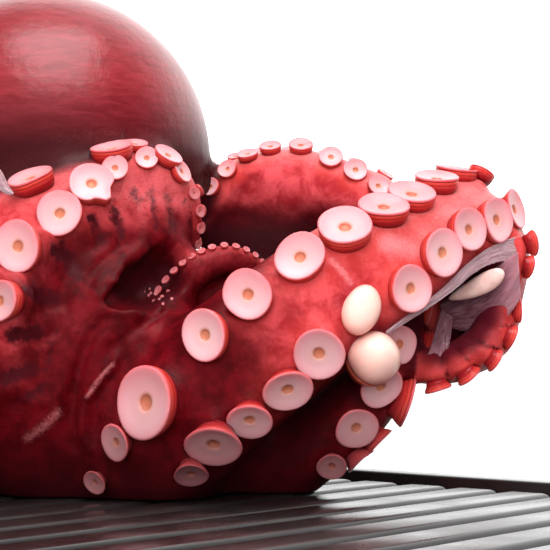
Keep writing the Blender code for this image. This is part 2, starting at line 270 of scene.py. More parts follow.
ROUTES = {
    "front": [
        (9, -15, -6, 20, 14, (-0.1, -0.5, -0.9)),
        (6, -29, 9, 22, 17, (-0.3, -0.93, -0.25)),
        (16, -35, 23, 22.5, 17, (-0.15, -1.0, 0.0)),
        (30, -36, 37, 23, 17, (0.0, -1.0, 0.05)),
        (44, -35, 48, 22.5, 17, (0.0, -1.0, 0.12)),
        (58, -31, 59, 21.5, 16, (0.05, -0.95, 0.28)),
        (73, -25, 69, 20, 14.5, (0.15, -0.88, 0.42)),
        (88, -17, 76, 18, 12.5, (0.32, -0.75, 0.55)),
        (101, -7, 84, 17.5, 11, (0.5, -0.5, 0.7)),
        (113, -1, 86, 16, 9, (0.8, -0.3, 0.5)),
        (120, 1, 76, 12.5, 8.5, (1.0, -0.15, 0.0)),
        (118, -2, 61, 11.5, 7.5, (0.95, -0.1, -0.2)),
        (114.5, -7, 49, 10.5, 7.5, (0.7, -0.1, -0.7)),
        (105, -11, 42, 9.5, 7, (0.35, -0.1, -0.95)),
        (95, -14, 39, 7.5, 6, (0.1, -0.1, -1.0)),
        (88, -15, 40, 4.5, 3.5, (-0.3, 0.0, -1.0)),
    ],
    "front right": [
        (35, 0, -1, 16, 15, (0.5, -0.4, -0.8)),
        (47, -10, 7, 14, 14, (0.6, -0.6, -0.5)),
        (60, -16, 17, 12.5, 12.5, (0.7, -0.65, -0.4)),
        (73, -16, 30, 11.5, 11.5, (0.75, -0.6, -0.25)),
        (82, -10, 45, 10.5, 10.5, (0.8, -0.5, 0.0)),
        (85, 2, 58, 8.5, 8, (0.9, -0.3, 0.3)),
        (79, 13, 67, 6, 5, (0.3, 0.0, 0.9)),
    ],
    "front left": [
        (-14, -10, -3, 20, 17, (-0.3, -0.6, -0.8)),
        (-31, -23, 17, 22, 19, (-0.6, -0.8, -0.2)),
        (-44, -30, 38, 23, 19, (-0.8, -0.6, 0.1)),
        (-43, -31, 59, 22, 18, (-0.7, -0.75, 0.2)),
        (-35, -25, 74, 20.5, 17.5, (-0.35, -0.85, 0.4)),
        (-22, -19, 85, 18.5, 16, (-0.12, -0.85, 0.5)),
        (-11, -14, 93, 16, 14, (0.0, -0.8, 0.6)),
        (-1, -10, 98, 12, 11.5, (0.2, -0.7, 0.7)),
        (8, -7, 99, 10.5, 10, (0.5, -0.45, 0.7)),
        (14, -4, 91, 9, 8, (0.95, -0.1, 0.3)),
        (15, -1, 81, 7, 6, (1.0, 0.0, 0.0)),
        (11, 3, 72, 5, 4, (1.0, 0.0, -0.4)),
    ],
    "inner": [
        (5, -8, 48, 8, 7, (-1.0, 0.0, 0.2)),
        (10, -15, 56, 7, 6.5, (-1.0, 0.0, 0.2)),
        (14.5, -16, 63.5, 6.3, 5.8, (-0.9, 0.0, 0.5)),
        (20.5, -14, 70, 5.8, 5.4, (-0.45, 0.0, 0.9)),
        (28, -12, 73.5, 5.5, 5.2, (0.0, 0.0, 1.0)),
        (35, -10, 72.5, 5, 4.8, (0.4, 0.0, 0.9)),
        (40.5, -8, 68, 4.2, 4, (0.9, 0.0, 0.4)),
        (43, -5, 62, 3, 3, (1.0, 0.0, 0.0)),
    ],
    "rear right": [
        (48, 10, 26, 19, 15, (0.7, 0.3, -0.6)),
        (74, 15, 38, 19, 15, (0.8, 0.4, -0.4)),
        (89, 22, 72, 18, 13, (0.8, 0.6, 0.1)),
        (84, 25, 87, 14.5, 14, (0.7, 0.1, 0.7)),
        (69, 31, 97, 13.5, 13.5, (0.3, 0.0, 1.0)),
        (51, 35, 102, 13, 13, (0.0, 0.0, 1.0)),
        (33, 38, 100, 12, 12, (-0.15, 0.0, 1.0)),
        (21, 38, 96, 9, 9, (-0.4, 0.0, 0.9)),
        (15, 36, 88, 7, 7, (-0.9, 0.0, 0.4)),
    ],
    "left": [
        (-42, 0, 16, 20, 15, (-0.3, -0.3, -0.9)),
        (-76, -8, 17, 19, 15, (-0.3, -0.3, -0.9)),
        (-103, 0, 28, 17, 13, (-0.9, -0.3, -0.3)),
        (-114, 18, 48, 14, 11, (-1.0, 0.0, 0.1)),
        (-108, 36, 66, 11, 9, (-0.6, 0.3, 0.8)),
        (-94, 48, 70, 8, 7, (0.2, 0.6, 0.8)),
        (-84, 58, 62, 5, 4.5, (0.3, 0.9, 0.0)),
    ],
    "rear left": [
        (-38, 34, 18, 20, 15, (-0.2, 0.2, -0.9)),
        (-66, 62, 16, 19, 15, (-0.3, 0.3, -0.9)),
        (-88, 86, 25, 17, 13, (-0.6, 0.7, -0.3)),
        (-92, 98, 45, 14, 11, (-0.6, 0.8, 0.2)),
        (-80, 96, 62, 11, 9, (0.0, 0.6, 0.8)),
        (-62, 92, 64, 8, 7, (0.6, 0.2, 0.8)),
        (-50, 90, 54, 5, 4.5, (0.9, 0.3, 0.0)),
    ],
    "rear": [
        (6, 36, 18, 19, 15, (0.0, 0.3, -0.9)),
        (14, 62, 17, 18, 14, (0.1, 0.5, -0.8)),
        (18, 80, 30, 15, 11, (0.1, 0.95, -0.2)),
        (12, 86, 48, 12, 9, (0.0, 0.95, 0.3)),
        (-2, 84, 60, 9, 7, (-0.5, 0.5, 0.7)),
        (-14, 80, 54, 6, 5, (-0.9, 0.4, 0.0)),
    ],
}
# Masses below and between the arms: middle, then half sizes.
LUMPS = [
    (BAG_MIDDLE, BAG_SIZES),
    ((-32.0, 26.0, 62.0), (44.0, 40.0, 38.0)),
    ((-2.0, 8.0, 27.0), (58.0, 48.0, 35.0)),
    ((-14.0, -13.0, 38.0), (38.0, 31.0, 48.0)),
    ((-12.0, -10.0, 72.0), (31.0, 21.0, 30.0)),
    ((-52.0, 4.0, 30.0), (36.0, 34.0, 32.0)),
    ((54.0, 33.0, 76.0), (36.0, 8.0, 27.0)),
    ((30.0, 12.0, 60.0), (32.0, 22.0, 15.0)),
    ((103.0, 7.0, 62.0), (21.0, 6.0, 22.0)),
    ((-76.0, 14.0, 66.0), (9.0, 9.0, 9.0)),
    ((4.0, 52.0, 66.0), (9.0, 9.0, 9.0)),
]


def blend_rows(rows, place):
    """Smooth curve through rows numbered from 0, read at place."""
    last = len(rows) - 1
    index = min(int(place), last - 1)
    part = place - index
    before, here, there = rows[max(index - 1, 0)], rows[index], rows[index + 1]
    after = rows[min(index + 2, last)]
    lift = 2.0 * here + (there - before) * part
    bow = (2.0 * before - 5.0 * here + 4.0 * there - after) * part**2
    twist = (3.0 * here - before - 3.0 * there + after) * part**3
    return 0.5 * (lift + bow + twist)


class Arm:
    """Cross sections along a route: middle, tangent, sucker side, across, half width, half thickness."""

    def __init__(self, route):
        rows = np.array([list(row[:5]) + list(row[5]) for row in route], dtype=float)
        fine = np.linspace(0.0, len(rows) - 1.0, 24 * (len(rows) - 1) + 1)
        self.track = np.array([blend_rows(rows, place) for place in fine])
        legs = np.linalg.norm(np.diff(self.track[:, :3], axis=0), axis=1)
        self.run = np.concatenate([[0.0], np.cumsum(legs)])
        self.tangents = np.gradient(self.track[:, :3], axis=0)
        self.length = float(self.run[-1])

    def at(self, distance):
        values = np.array([np.interp(distance, self.run, column) for column in self.track.T])
        along = np.array([np.interp(distance, self.run, column) for column in self.tangents.T])
        along /= np.linalg.norm(along)
        facing = values[5:8] - along * values[5:8].dot(along)
        facing /= np.linalg.norm(facing)
        return values[:3], along, facing, np.cross(along, facing), values[3], values[4]


ARMS = {name: Arm(route) for name, route in ROUTES.items()}
ARM_NUMBER = {name: number for number, name in enumerate(ARMS)}


def ring_faces(rings, sides):
    """Quads between rings of points; the two end points come after all the rings."""
    faces = []
    for ring in range(rings - 1):
        for side in range(sides):
            after = (side + 1) % sides
            low = ring * sides
            faces.append((low + side, low + sides + side, low + sides + after, low + after))
    for side in range(sides):
        after = (side + 1) % sides
        faces.append((side, after, rings * sides))
        faces.append(((rings - 1) * sides + after, (rings - 1) * sides + side, rings * sides + 1))
    return faces


def mesh_piece(name, points, faces):
    """New object from points and faces, with the faces turned outward."""
    mesh = bpy.data.meshes.new(name)
    mesh.from_pydata([tuple(p) for p in points], [], faces)
    made = bpy.data.objects.new(name, mesh)
    bpy.context.scene.collection.objects.link(made)
    shape = bmesh.new()
    shape.from_mesh(mesh)
    bmesh.ops.recalc_face_normals(shape, faces=shape.faces)
    shape.to_mesh(mesh)
    shape.free()
    return made


def arm_tube(name, arm, sides=24, step=2.5):
    """Closed tube with an egg-shaped section: rounder on the skin side, flatter under the suckers."""
    count = max(6, round(arm.length / step))
    points = []
    for ring in range(count + 1):
        middle, along, facing, across, wide, thick = arm.at(arm.length * ring / count)
        for side in range(sides):
            turn = 2.0 * math.pi * side / sides
            front = math.cos(turn)
            depth = thick * (front if front < 0.0 else front * 0.96)
            points.append(middle + across * wide * math.sin(turn) + facing * depth)
    middle, along, facing, across, wide, thick = arm.at(0.0)
    points.append(middle - along * thick * 0.5)
    middle, along, facing, across, wide, thick = arm.at(arm.length)
    points.append(middle + along * thick)
    return mesh_piece(name, points, ring_faces(count + 1, sides))


def ball(name, middle, half_sizes):
    bpy.ops.object.select_all(action="DESELECT")
    bpy.ops.mesh.primitive_uv_sphere_add(segments=48, ring_count=28, radius=1.0)
    made = bpy.context.object
    made.name = name
    made.data.transform(Matrix.Translation(middle) @ Matrix.Diagonal((*half_sizes, 1.0)))
    return made


def unit(v):
    v = np.array(v, dtype=float)
    return v / np.linalg.norm(v)


def square_to(way):
    """Two directions square to a way and to each other."""
    aside = unit(np.cross(way, (0.3, 0.2, 0.9)))
    return aside, unit(np.cross(way, aside))


def ring(middle, aside, ahead, size, sides):
    """Points of a round ring."""
    turns = [2.0 * math.pi * side / sides for side in range(sides)]
    return [middle + (aside * math.cos(turn) + ahead * math.sin(turn)) * size for turn in turns]


def turned(name, way, rings, ends, sides=16):
    """Closed round shape square to a way, through (middle, size) rings, with a point past each end."""
    points = [spot for middle, size in rings for spot in ring(middle, *square_to(way), size, sides)]
    return mesh_piece(name, points + list(ends), ring_faces(len(rings), sides))


# The front's suckers and marks are placed by where the scene's camera sees them. VIEW is the view's width and
# height in its own units, FOCAL the focal length in them, and EYE the camera in the octopus's millimetres.
VIEW, FOCAL = 550.0, 1600.0
EYE, TILT = np.array((45.0, -520.0, 48.0)), math.atan2(65.0, FOCAL)
AHEAD = np.array((0.0, math.cos(TILT), math.sin(TILT)))
ABOVE = np.array((0.0, -math.sin(TILT), math.cos(TILT)))


def on_view(points):
    """Places in the view of points in millimetres."""
    away = points - EYE
    depth = away @ AHEAD
    across, up = FOCAL * away[:, 0] / depth, FOCAL * (away @ ABOVE) / depth
    return np.stack([VIEW / 2 + across, VIEW / 2 - up], axis=1)


def sight(px, py):
    """Direction from the camera through a place in the view."""
    return unit(AHEAD * FOCAL + np.array((px - VIEW / 2, 0.0, 0.0)) + ABOVE * (VIEW / 2 - py))


# Suckers that the front shows: distance along the arm, angle round it, radius, way it faces, height of its
# face above the arm in radii, its length over its width, its place in the view and how much further away
# it is.
SEEN = {
    "front": [
        (21.5, -24, 3.8, (-0.5, -0.8, -0.3), 0.6, 1.0, (94, 483)),
        (30.0, -18, 5.7, (-0.66, -0.7, -0.2), 0.6, 1.0, (114, 443)),
        (43.0, -16, 9.4, (-0.50, -0.86, -0.02), 0.6, 1.18, (143, 403)),
        (64.0, -30, 7.4, (-0.45, -0.88, 0.0), 0.5, 1.04, (203, 335)),
        (78.5, -34, 7.6, (-0.22, -0.95, 0.12), 0.5, 1.0, (247, 294)),
        (95.0, -30, 7.8, (-0.15, -0.9, 0.38), 0.5, 1.0, (299.5, 255.5)),
        (110.5, -28, 8.4, (-0.04, -0.72, 0.69), 0.5, 1.0, (345, 224)),
        (124.0, -32, 7.6, (0.04, -0.55, 0.83), 0.5, 1.0, (384, 204)),
        (139.5, -38, 7.6, (0.1, -0.52, 0.85), 0.45, 1.0, (412, 191)),
        (150.5, -38, 7.7, (0.05, -0.30, 0.95), 0.45, 1.0, (437, 175.5, 2.5)),
        (161.5, -54, 7.2, (0.12, -0.18, 0.97), 0.45, 1.0, (457, 168, 5.0)),
        (172.0, -48, 4.8, (0.45, 0.2, 0.85), 0.4, 1.0, (482, 172)),
        (36.5, 36, 5.4, (0.0, -0.62, -0.78), 0.35, 1.0, (191, 476)),
        (46.5, 32, 8.2, (-0.1, -0.72, -0.66), 0.7, 1.0, (213, 447.5)),
        (58.5, 36, 6.8, (-0.05, -0.74, -0.66), 0.8, 1.0, (249.5, 422.5)),
        (72.0, 36, 7.4, (0.1, -0.76, -0.60), 0.6, 1.0, (288, 392)),
        (83.5, 34, 7.8, (-0.02, -0.92, -0.36), 0.8, 1.0, (319, 355)),
        (117.0, 46, 7.0, (0.45, -0.87, 0.0), 0.5, 1.06, (412.5, 288.5)),
        (131.5, 28, 7.1, (0.52, -0.84, 0.05), 0.45, 1.08, (444.5, 252.5)),
        (144.0, 24, 6.8, (0.60, -0.78, 0.12), 0.4, 1.05, (471, 229, -1.5)),
        (158.0, 30, 7.0, (0.66, -0.73, 0.15), 0.35, 1.05, (499, 219.5, 1.2)),
        (167.5, 12, 6.8, (0.84, -0.48, 0.25), 0.1, 1.0, (517, 208.5, 2.0)),
        (176.5, 40, 4.2, (0.95, 0.25, 0.17), 0.5, 1.0, (533.5, 243)),
        (186.0, 45, 4.0, (0.95, 0.2, -0.2), 0.5, 1.0, (530, 267)),
        (200.0, 50, 4.3, (0.98, 0.0, 0.0), 0.5, 1.0, (520, 310)),
        (209.0, 50, 4.2, (0.9, 0.1, -0.35), 0.5, 1.0, (512.5, 338)),
        (217.0, 50, 4.0, (0.82, 0.15, -0.5), 0.5, 1.0, (496, 361)),
        (226.0, 45, 4.4, (0.6, 0.15, -0.72), 0.5, 1.0, (469.5, 377)),
        (235.0, 36, 4.2, (0.3, 0.15, -0.92), 0.5, 1.0, (438, 389)),
    ],
    "front left": [
        (76.5, 64, 7.0, (-0.6, -0.8, 0.0), 0.5),
        (91.5, 38, 7.7, (-0.3, -0.95, 0.0), 0.5),
        (109.5, 28, 7.1, (-0.13, -0.98, 0.12), 0.5),
        (122.5, 20, 7.1, (0.1, -0.86, 0.5), 0.5, 1.0, (91.5, 181.5)),
        (132.5, 12, 4.2, (0.05, -0.93, 0.35), 0.5, 1.0, (115, 167, -2.0)),
        (143.5, 14, 3.8, (0.1, -0.9, 0.4), 0.5),
        (109.5, -18, 7.0, (-0.3, -0.42, 0.85), 0.5),
        (135.0, -10, 6.8, (-0.15, -0.33, 0.92), 0.5),
        (142.5, -30, 4.3, (0.1, -0.35, 0.92), 0.4),
        (147.5, 16, 4.8, (0.5, -0.45, 0.75), 0.5),
        (150.5, 30, 3.9, (0.8, -0.5, 0.4), 0.4),
    ],
    "front right": [
        (34.5, -20, 4.7, (-0.05, -0.85, -0.5), 0.5),
        (45.0, -38, 6.8, (0.3, -0.88, -0.35), 0.5),
        (57.0, -48, 6.8, (0.3, -0.85, -0.42), 0.9, 1.0, (382, 388, -2.0)),
        (69.0, -52, 6.0, (0.5, -0.85, 0.0), 0.5),
        (55.5, -16, 8.0, (0.95, -0.05, -0.3), 0.35, 1.0, (409, 403, 2.5)),
        (46.5, 6, 5.4, (0.72, -0.1, -0.69), 0.5),
        (40.0, 4, 5.2, (0.65, -0.1, -0.75), 0.5),
    ],
    "rear right": [
        (85.5, -78, 3.4, (0.5, -0.8, 0.3), 0.5),
        (91.5, -64, 3.7, (0.3, -0.86, 0.4), 0.5),
        (101.0, -50, 4.1, (0.1, -0.93, 0.35), 0.5),
        (110.5, -40, 4.2, (0.0, -0.84, 0.54), 0.5),
        (120.5, -22, 4.2, (0.0, -0.59, 0.81), 0.5),
        (128.5, -24, 3.9, (-0.1, -0.5, 0.86), 0.5),
        (135.5, -36, 3.6, (-0.1, -0.5, 0.86), 0.5),
        (143.0, -54, 3.5, (-0.4, -0.8, 0.4), 0.5),
        (150.5, -74, 3.4, (-0.5, -0.8, 0.3), 0.5),
        (96.5, 20, 3.1, (0.5, -0.3, 0.8), 0.5),
        (105.5, 24, 3.2, (0.3, -0.4, 0.85), 0.5),
        (114.5, 26, 3.2, (0.1, -0.4, 0.9), 0.5),
        (124.5, 26, 3.2, (0.0, -0.4, 0.9), 0.5),
        (133.0, 20, 3.1, (-0.1, -0.4, 0.9), 0.5),
        (141.0, 14, 3.0, (-0.2, -0.4, 0.9), 0.5),
        (149.0, 4, 2.9, (-0.3, -0.5, 0.8), 0.5),
    ],
}
# Rows by rule: degrees round the arm, lean of the faces in radians and step along the arm in radii.
ROW_ANGLE, ROW_LEAN, ROW_STEP = 34.0, 0.7, 2.15
# The front left arm's rule starts past the suckers that the front shows.
SHOWN_PART = 156.0


def regular_rows(name, rows, first, per_width, largest):
    """Suckers by rule, for the rows that the front doesn't show: their spacing follows their own size."""
    arm = ARMS[name]
    made = []
    for row in rows:
        distance = first + (3.8 if row > 0 else 0.0)
        while distance < arm.length + 1.0:
            middle, along, facing, across, wide, thick = arm.at(distance)
            grown = min(1.0, 0.5 + (distance - first) / 24.0)
            radius = min(largest, wide * per_width) * grown
            if radius < 0.9:
                break
            way = across * math.sin(ROW_LEAN) * row + facing * math.cos(ROW_LEAN)
            made.append((distance, ROW_ANGLE * row, radius, way))
            distance += ROW_STEP * radius
    return made


rng = np.random.default_rng(11)
suckers = []


def add_sucker(name, distance, angle, radius, way, stalk, oval=1.0, place=None):
    """Seat on the arm's surface, then the face a short stalk further out, moved to its place in the view."""
    middle, along, facing, across, wide, thick = ARMS[name].at(distance)
    turn = math.radians(angle)
    seat = middle + across * wide * math.sin(turn) + facing * thick * math.cos(turn)
    foot = middle + across * wide * math.sin(turn * 0.25) * 0.8 + facing * thick * 0.78
    way = unit(way)
    face = seat + way * (radius * stalk)
    if place:
        face = EYE + sight(*place[:2]) * (np.linalg.norm(face - EYE) + sum(place[2:]))
    suckers.append((name, seat, way, radius, face, foot, oval))


def column(way):
    """Suckers that hang or turn away stand on a column narrower than their face."""
    return 0.8 if way[2] < -0.15 or way[0] > 0.8 else 1.0


for name, rows in SEEN.items():
    for row in rows:
        add_sucker(name, *row)
for name, rows, first, largest, per_width in (
    ("front left", (-1, 1), 14.0, 7.0, 0.24),
    ("front right", (1,), 66.0, 6.0, 0.55),
    ("left", (-1, 1), 18.0, 7.4, 0.42),
    ("rear left", (-1, 1), 18.0, 7.4, 0.42),
    ("rear", (-1, 1), 18.0, 7.4, 0.42),
    ("inner", (-1, 1), 4.0, 1.45, 0.24),
):
    for distance, angle, radius, way in regular_rows(name, rows, first, per_width, largest):
        if name != "front left" or distance >= SHOWN_PART:
            add_sucker(name, distance, angle, radius, way, 0.35)

# What carries a cup, in radii: a ridge by share of the way up and size, a stalk by size and height.
RIDGE = ((0.0, 0.45), (0.3, 0.6), (0.65, 0.72), (1.0, 0.78))
STALK = ((1.15, -1.4), (1.02, -0.98), (0.97, -0.7), (0.92, -0.54))
parts = [arm_tube(f"{name} arm", arm) for name, arm in ARMS.items()]
parts += [ball("lump", middle, half_sizes) for middle, half_sizes in LUMPS]
for name, seat, way, radius, face, foot, oval in suckers:
    if radius < 3.0:
        continue
    stout = radius * column(way)
    if radius > 6.0 and name == "front" and way[2] < 0.8:
        ridge = face - way * radius * 0.95 - foot
        rings = [(foot + ridge * share, stout * size) for share, size in RIDGE]
        parts.append(turned("ridge", ridge, rings, (foot - ridge * 0.3, foot + ridge * 1.05)))
    rings = [(face + way * radius * height, stout * size) for size, height in STALK]
    parts.append(turned("stalk", way, rings, (face - way * radius * 1.6, face - way * radius * 1.15)))

skin = join(parts, "octopus_skin")


def fuse(piece, size):
    """Melt overlapping closed shapes into one even skin."""
    melt = piece.modifiers.new("melt", "REMESH")
    melt.mode = "VOXEL"
    melt.voxel_size = size
    melt.adaptivity = 0.0
    only(piece)
    bpy.ops.object.modifier_apply(modifier="melt")


fuse(skin, SKIN_VOXEL)


def seen(tree, px, py, nearer=0.0):
    """The first surface point behind a place in the view, moved a little towards the camera."""
    hit = tree.ray_cast(Vector(EYE), Vector(sight(px, py)))[0]
    return None if hit is None else np.array(hit) - sight(px, py) * nearer


# The pocket between the two front arms is a slanting hollow, narrow at its lower left end: place in the view,
# distance from the camera, half sizes and slant in degrees.
POCKET = (
    ((163.0, 271.0), 492.0, (10.0, 16.0, 8.6), -12.0),
    ((140.0, 286.0), 489.0, (8.0, 14.0, 7.6), -42.0),
    ((119.0, 297.0), 486.0, (6.2, 10.0, 4.4), -48.0),
)
for place, away, half_sizes, slant in POCKET:
    pocket = ball("pocket", (0.0, 0.0, 0.0), half_sizes)
    slanted = Matrix.Rotation(math.radians(slant), 4, "Y")
    pocket.data.transform(Matrix.Translation(EYE + sight(*place) * away) @ slanted)
    hollow = skin.modifiers.new("hollow", "BOOLEAN")
    hollow.operation = "DIFFERENCE"
    hollow.solver = "MANIFOLD"
    hollow.object = pocket
    only(skin)
    bpy.ops.object.modifier_apply(modifier="hollow")
    bpy.data.objects.remove(pocket)

surface = BVHTree.FromObject(skin, bpy.context.evaluated_depsgraph_get())


def rope(name, spots, sides=10):
    """Closed tube through (middle, radius) spots."""
    middles = np.array([middle for middle, radius in spots])
    legs = np.gradient(middles, axis=0)
    points = []
    for (middle, radius), leg in zip(spots, legs):
        aside = unit(np.cross(leg, (0.2, -1.0, 0.1)))
        points += ring(middle, aside, unit(np.cross(leg, aside)), radius, sides)
    points += [middles[0] - legs[0] * 0.2, middles[-1] + legs[-1] * 0.2]
    return mesh_piece(name, points, ring_faces(len(spots), sides))


def curve(places, count):
    """Evenly numbered points on a smooth curve through the places."""
    rows = np.array(places, dtype=float)
    return [blend_rows(rows, place) for place in np.linspace(0.0, len(rows) - 1.0, count)]


# Knobs on the pocket's floor: place in the view and radius.
KNOBS = (
    (135, 291, 0.4), (140, 288, 0.5), (144, 292, 0.6), (150, 289, 0.4), (149, 296, 0.6), (156, 294, 0.7),
    (142, 299, 0.4), (154, 301, 0.5), (162, 297, 0.6), (168, 292, 0.7), (134, 303, 0.4), (163, 304, 0.5),
    (172, 299, 0.5), (145, 304, 0.4), (159, 299, 0.4), (151, 293, 0.4), (139, 295, 0.4),
)
for px, py, radius in KNOBS:
    spot = seen(surface, px, py)
    away = unit((rng.uniform(-0.5, 0.5), -1.0, rng.uniform(0.0, 0.8)))
    suckers.append(("inner", spot, away, radius, spot + away * radius * 0.7, spot, 1.0))

# The pocket's thick lip, as places in the view. It lies on the nearest skin just outside them.
LIP_RADIUS = 1.25
LIP = [
    (150, 251), (138, 255), (126, 262), (119, 273), (111, 286),
    (101, 297), (103, 308), (120, 313), (140, 313),
]
lip_spots = []
for px, py in curve(LIP, 40):
    outward = unit((px - 150.0, 0.0, 280.0 - py))
    found = [seen(surface, px + outward[0] * step, py - outward[2] * step) for step in (2.0, 5.0, 8.0)]
    depth = min(np.linalg.norm(spot - EYE) for spot in found if spot is not None)
    lip_spots.append((EYE + sight(px, py) * depth, LIP_RADIUS))
depths = np.array([np.linalg.norm(spot - EYE) for spot, radius in lip_spots])
depths = np.convolve(np.pad(depths, 4, mode="edge"), np.ones(9) / 9.0, mode="valid")
lip_spots = [(EYE + unit(spot - EYE) * depth, radius) for (spot, radius), depth in zip(lip_spots, depths)]
skin = join([skin, rope("lip", lip_spots)], "octopus_skin")
fuse(skin, SKIN_VOXEL)

count = len(skin.data.vertices)
spots = np.empty(count * 3)
skin.data.vertices.foreach_get("co", spots)
spots = spots.reshape(-1, 3)
ends = np.empty(len(skin.data.edges) * 2, dtype=np.int64)
skin.data.edges.foreach_get("vertices", ends)
ends = ends.reshape(-1, 2)
valence = np.bincount(ends.ravel(), minlength=count).astype(float)


def neighbour_mean(values):
    total = np.empty_like(values)
    for column in range(values.shape[1]):
        total[:, column] = np.bincount(ends[:, 0], values[ends[:, 1], column], count)
        total[:, column] += np.bincount(ends[:, 1], values[ends[:, 0], column], count)
    return total / valence[:, None]


def nearest_arm(points):
    """For each point its arm: distance from the arm's middle in arm sizes, sucker side, size and number."""
    best = np.full(len(points), 1e9)
    oral = np.zeros(len(points))
    local = np.zeros(len(points))
    owner = np.zeros(len(points), dtype=int)
    for number, arm in enumerate(ARMS.values()):
        for distance in np.arange(0.0, arm.length, 3.0):
            middle, along, facing, across, wide, thick = arm.at(distance)
            away = points - middle
            length = np.linalg.norm(away, axis=1)
            out = length / (0.5 * (wide + thick))
            better = out < best
            best[better] = out[better]
            oral[better] = (away[better] @ facing) / np.maximum(length[better], 1e-6)
            local[better] = 0.5 * (wide + thick)
            owner[better] = number
    return best, oral, local, owner


def settle(points, hold, steps):
    """Let the surface relax towards its neighbours' mean."""
    for step in range(steps):
        points += (neighbour_mean(points) - points) * hold[:, None]


def rising(values, start, width):
    """0 up to the start, then growing to 1 over the width."""
    return np.clip((values - start) / width, 0.0, 1.0)


def falling(values, end, width):
    """1 until the width before the end, then sinking to 0."""
    return np.clip((end - values) / width, 0.0, 1.0)


out, oral, local, owner = nearest_arm(spots)
front = spots[:, 1] < 5.0
hold = np.clip((local - 2.0) / 5.0, 0.12, 1.0) * 0.6
hold[out > 1.6] = 0.6
lip_near = np.min([np.linalg.norm(spots - middle, axis=1) for middle, radius in lip_spots], axis=0)
hold *= np.clip((lip_near - 1.5) / 3.0, 0.15, 1.0)
settle(spots, hold, 7)
near = np.full(count, 1e9)
for name, seat, way, radius, face, foot, oval in suckers:
    near = np.minimum(near, np.linalg.norm(spots - face, axis=1) / radius)
web = rising(near, 1.5, 1.0) * rising(local, 9.0, 4.0) * 0.6
web[(spots[:, 2] > 62.0) & (out > 1.4)] = 0.0
web *= rising(lip_near, 3.0, 5.0)
settle(spots, web, 55)

# Folds and marks of the front: (height in mm, half width, dark, pale, places in the view). The dark amount
# gives the skin's blotches and, along the grooves, painted shade in the creases; the pale amount gives pale
# marks and, along some ridges, a painted highlight.
STROKES = [
    (1.2, 3.0, 0.0, 0.75, [(113, 364), (98, 381), (88, 396)]),
    (1.4, 3.4, 0.0, 0.25, [(88, 396), (83, 412), (83, 432), (90, 450)]),
    (-1.3, 4.5, 0.45, 0.0, [(118, 372), (103, 392), (96, 410), (97, 436)]),
    (-1.0, 4.0, 0.5, 0.0, [(78, 372), (72, 395), (70, 420), (74, 450)]),
    (0.6, 7.0, 0.0, 0.55, [(58, 412), (44, 426), (27, 438)]),
    (0.5, 4.5, 0.0, 0.06, [(65, 352), (62, 377), (57, 396)]),
    (0.5, 3.5, 0.0, 0.15, [(99, 312), (84, 330), (75, 348), (69, 364)]),
    (-0.9, 3.0, 0.45, 0.0, [(107, 316), (93, 334), (84, 352), (78, 368)]),
    (0.5, 3.0, 0.0, 0.1, [(122, 320), (106, 334), (94, 352), (86, 372)]),
    (-0.9, 3.0, 0.6, 0.0, [(150, 318), (134, 328), (120, 342), (104, 357)]),
    (0.6, 3.2, 0.0, 0.1, [(156, 325), (138, 336), (124, 349), (113, 364)]),
    (-0.8, 3.0, 0.45, 0.0, [(168, 308), (152, 322), (142, 332)]),
    (0.4, 3.5, 0.0, 0.08, [(90, 300), (99, 280), (112, 264), (126, 254), (142, 247)]),
    (-0.4, 3.5, 0.2, 0.0, [(82, 298), (91, 276), (105, 258), (120, 247), (134, 240)]),
    (0.3, 4.0, 0.0, 0.05, [(74, 304), (82, 280), (94, 260), (108, 246)]),
    (-0.5, 13.0, 1.0, 0.0, [(60, 250), (70, 260), (78, 272)]),
    (-0.4, 12.0, 1.0, 0.0, [(30, 290), (42, 297), (56, 299)]),
    (-0.4, 11.0, 1.0, 0.0, [(12, 336), (26, 335), (38, 331)]),
    (-0.4, 11.0, 0.9, 0.0, [(0, 379), (16, 374), (32, 368)]),
    (-0.4, 8.0, 0.8, 0.0, [(91, 218), (95, 228), (101, 240)]),
    (-0.4, 8.0, 0.8, 0.0, [(112, 204), (116, 218), (122, 236)]),
    (-0.3, 7.0, 0.8, 0.0, [(133, 192), (140, 200)]),
    (-0.4, 7.0, 0.7, 0.0, [(151, 192), (154, 208), (156, 226)]),
    (-0.4, 7.0, 0.7, 0.0, [(168, 196), (173, 212), (176, 228)]),
    (-0.3, 7.0, 0.6, 0.0, [(186, 200), (190, 216), (190, 234)]),
    (-0.4, 9.0, 0.7, 0.0, [(14, 404), (30, 396), (44, 386)]),
    (-0.5, 8.0, 0.6, 0.0, [(58, 330), (50, 350), (48, 372)]),
    (0.7, 4.0, 0.0, 0.06, [(20, 352), (38, 350), (52, 342)]),
    (0.7, 4.0, 0.0, 0.06, [(10, 388), (30, 402), (46, 402)]),
    (-1.0, 4.5, 0.7, 0.0, [(513, 328), (500, 325), (484, 322)]),
    (-1.0, 4.5, 0.7, 0.0, [(500, 353), (486, 344), (470, 336)]),
    (-1.0, 4.5, 0.7, 0.0, [(478, 369), (466, 357), (456, 346)]),
    (-1.0, 4.5, 0.7, 0.0, [(449, 380), (446, 368), (441, 356)]),
    (0.5, 15.0, 0.0, 0.85, [(388, 242), (402, 246), (412, 250)]),
    (0.4, 4.0, 0.0, 0.9, [(331, 260), (341, 270), (350, 283)]),
]


def stroke_reach(places):
    """Distance in the view from each skin point to a smooth stroke."""
    track = np.array(curve(places, 6 * len(places)))
    nearest = np.full(count, 1e9)
    for start, end in zip(track[:-1], track[1:]):
        leg = end - start
        part = np.clip(((view - start) @ leg) / max(leg @ leg, 1e-9), 0.0, 1.0)
        nearest = np.minimum(nearest, np.linalg.norm(view - start - part[:, None] * leg, axis=1))
    return nearest


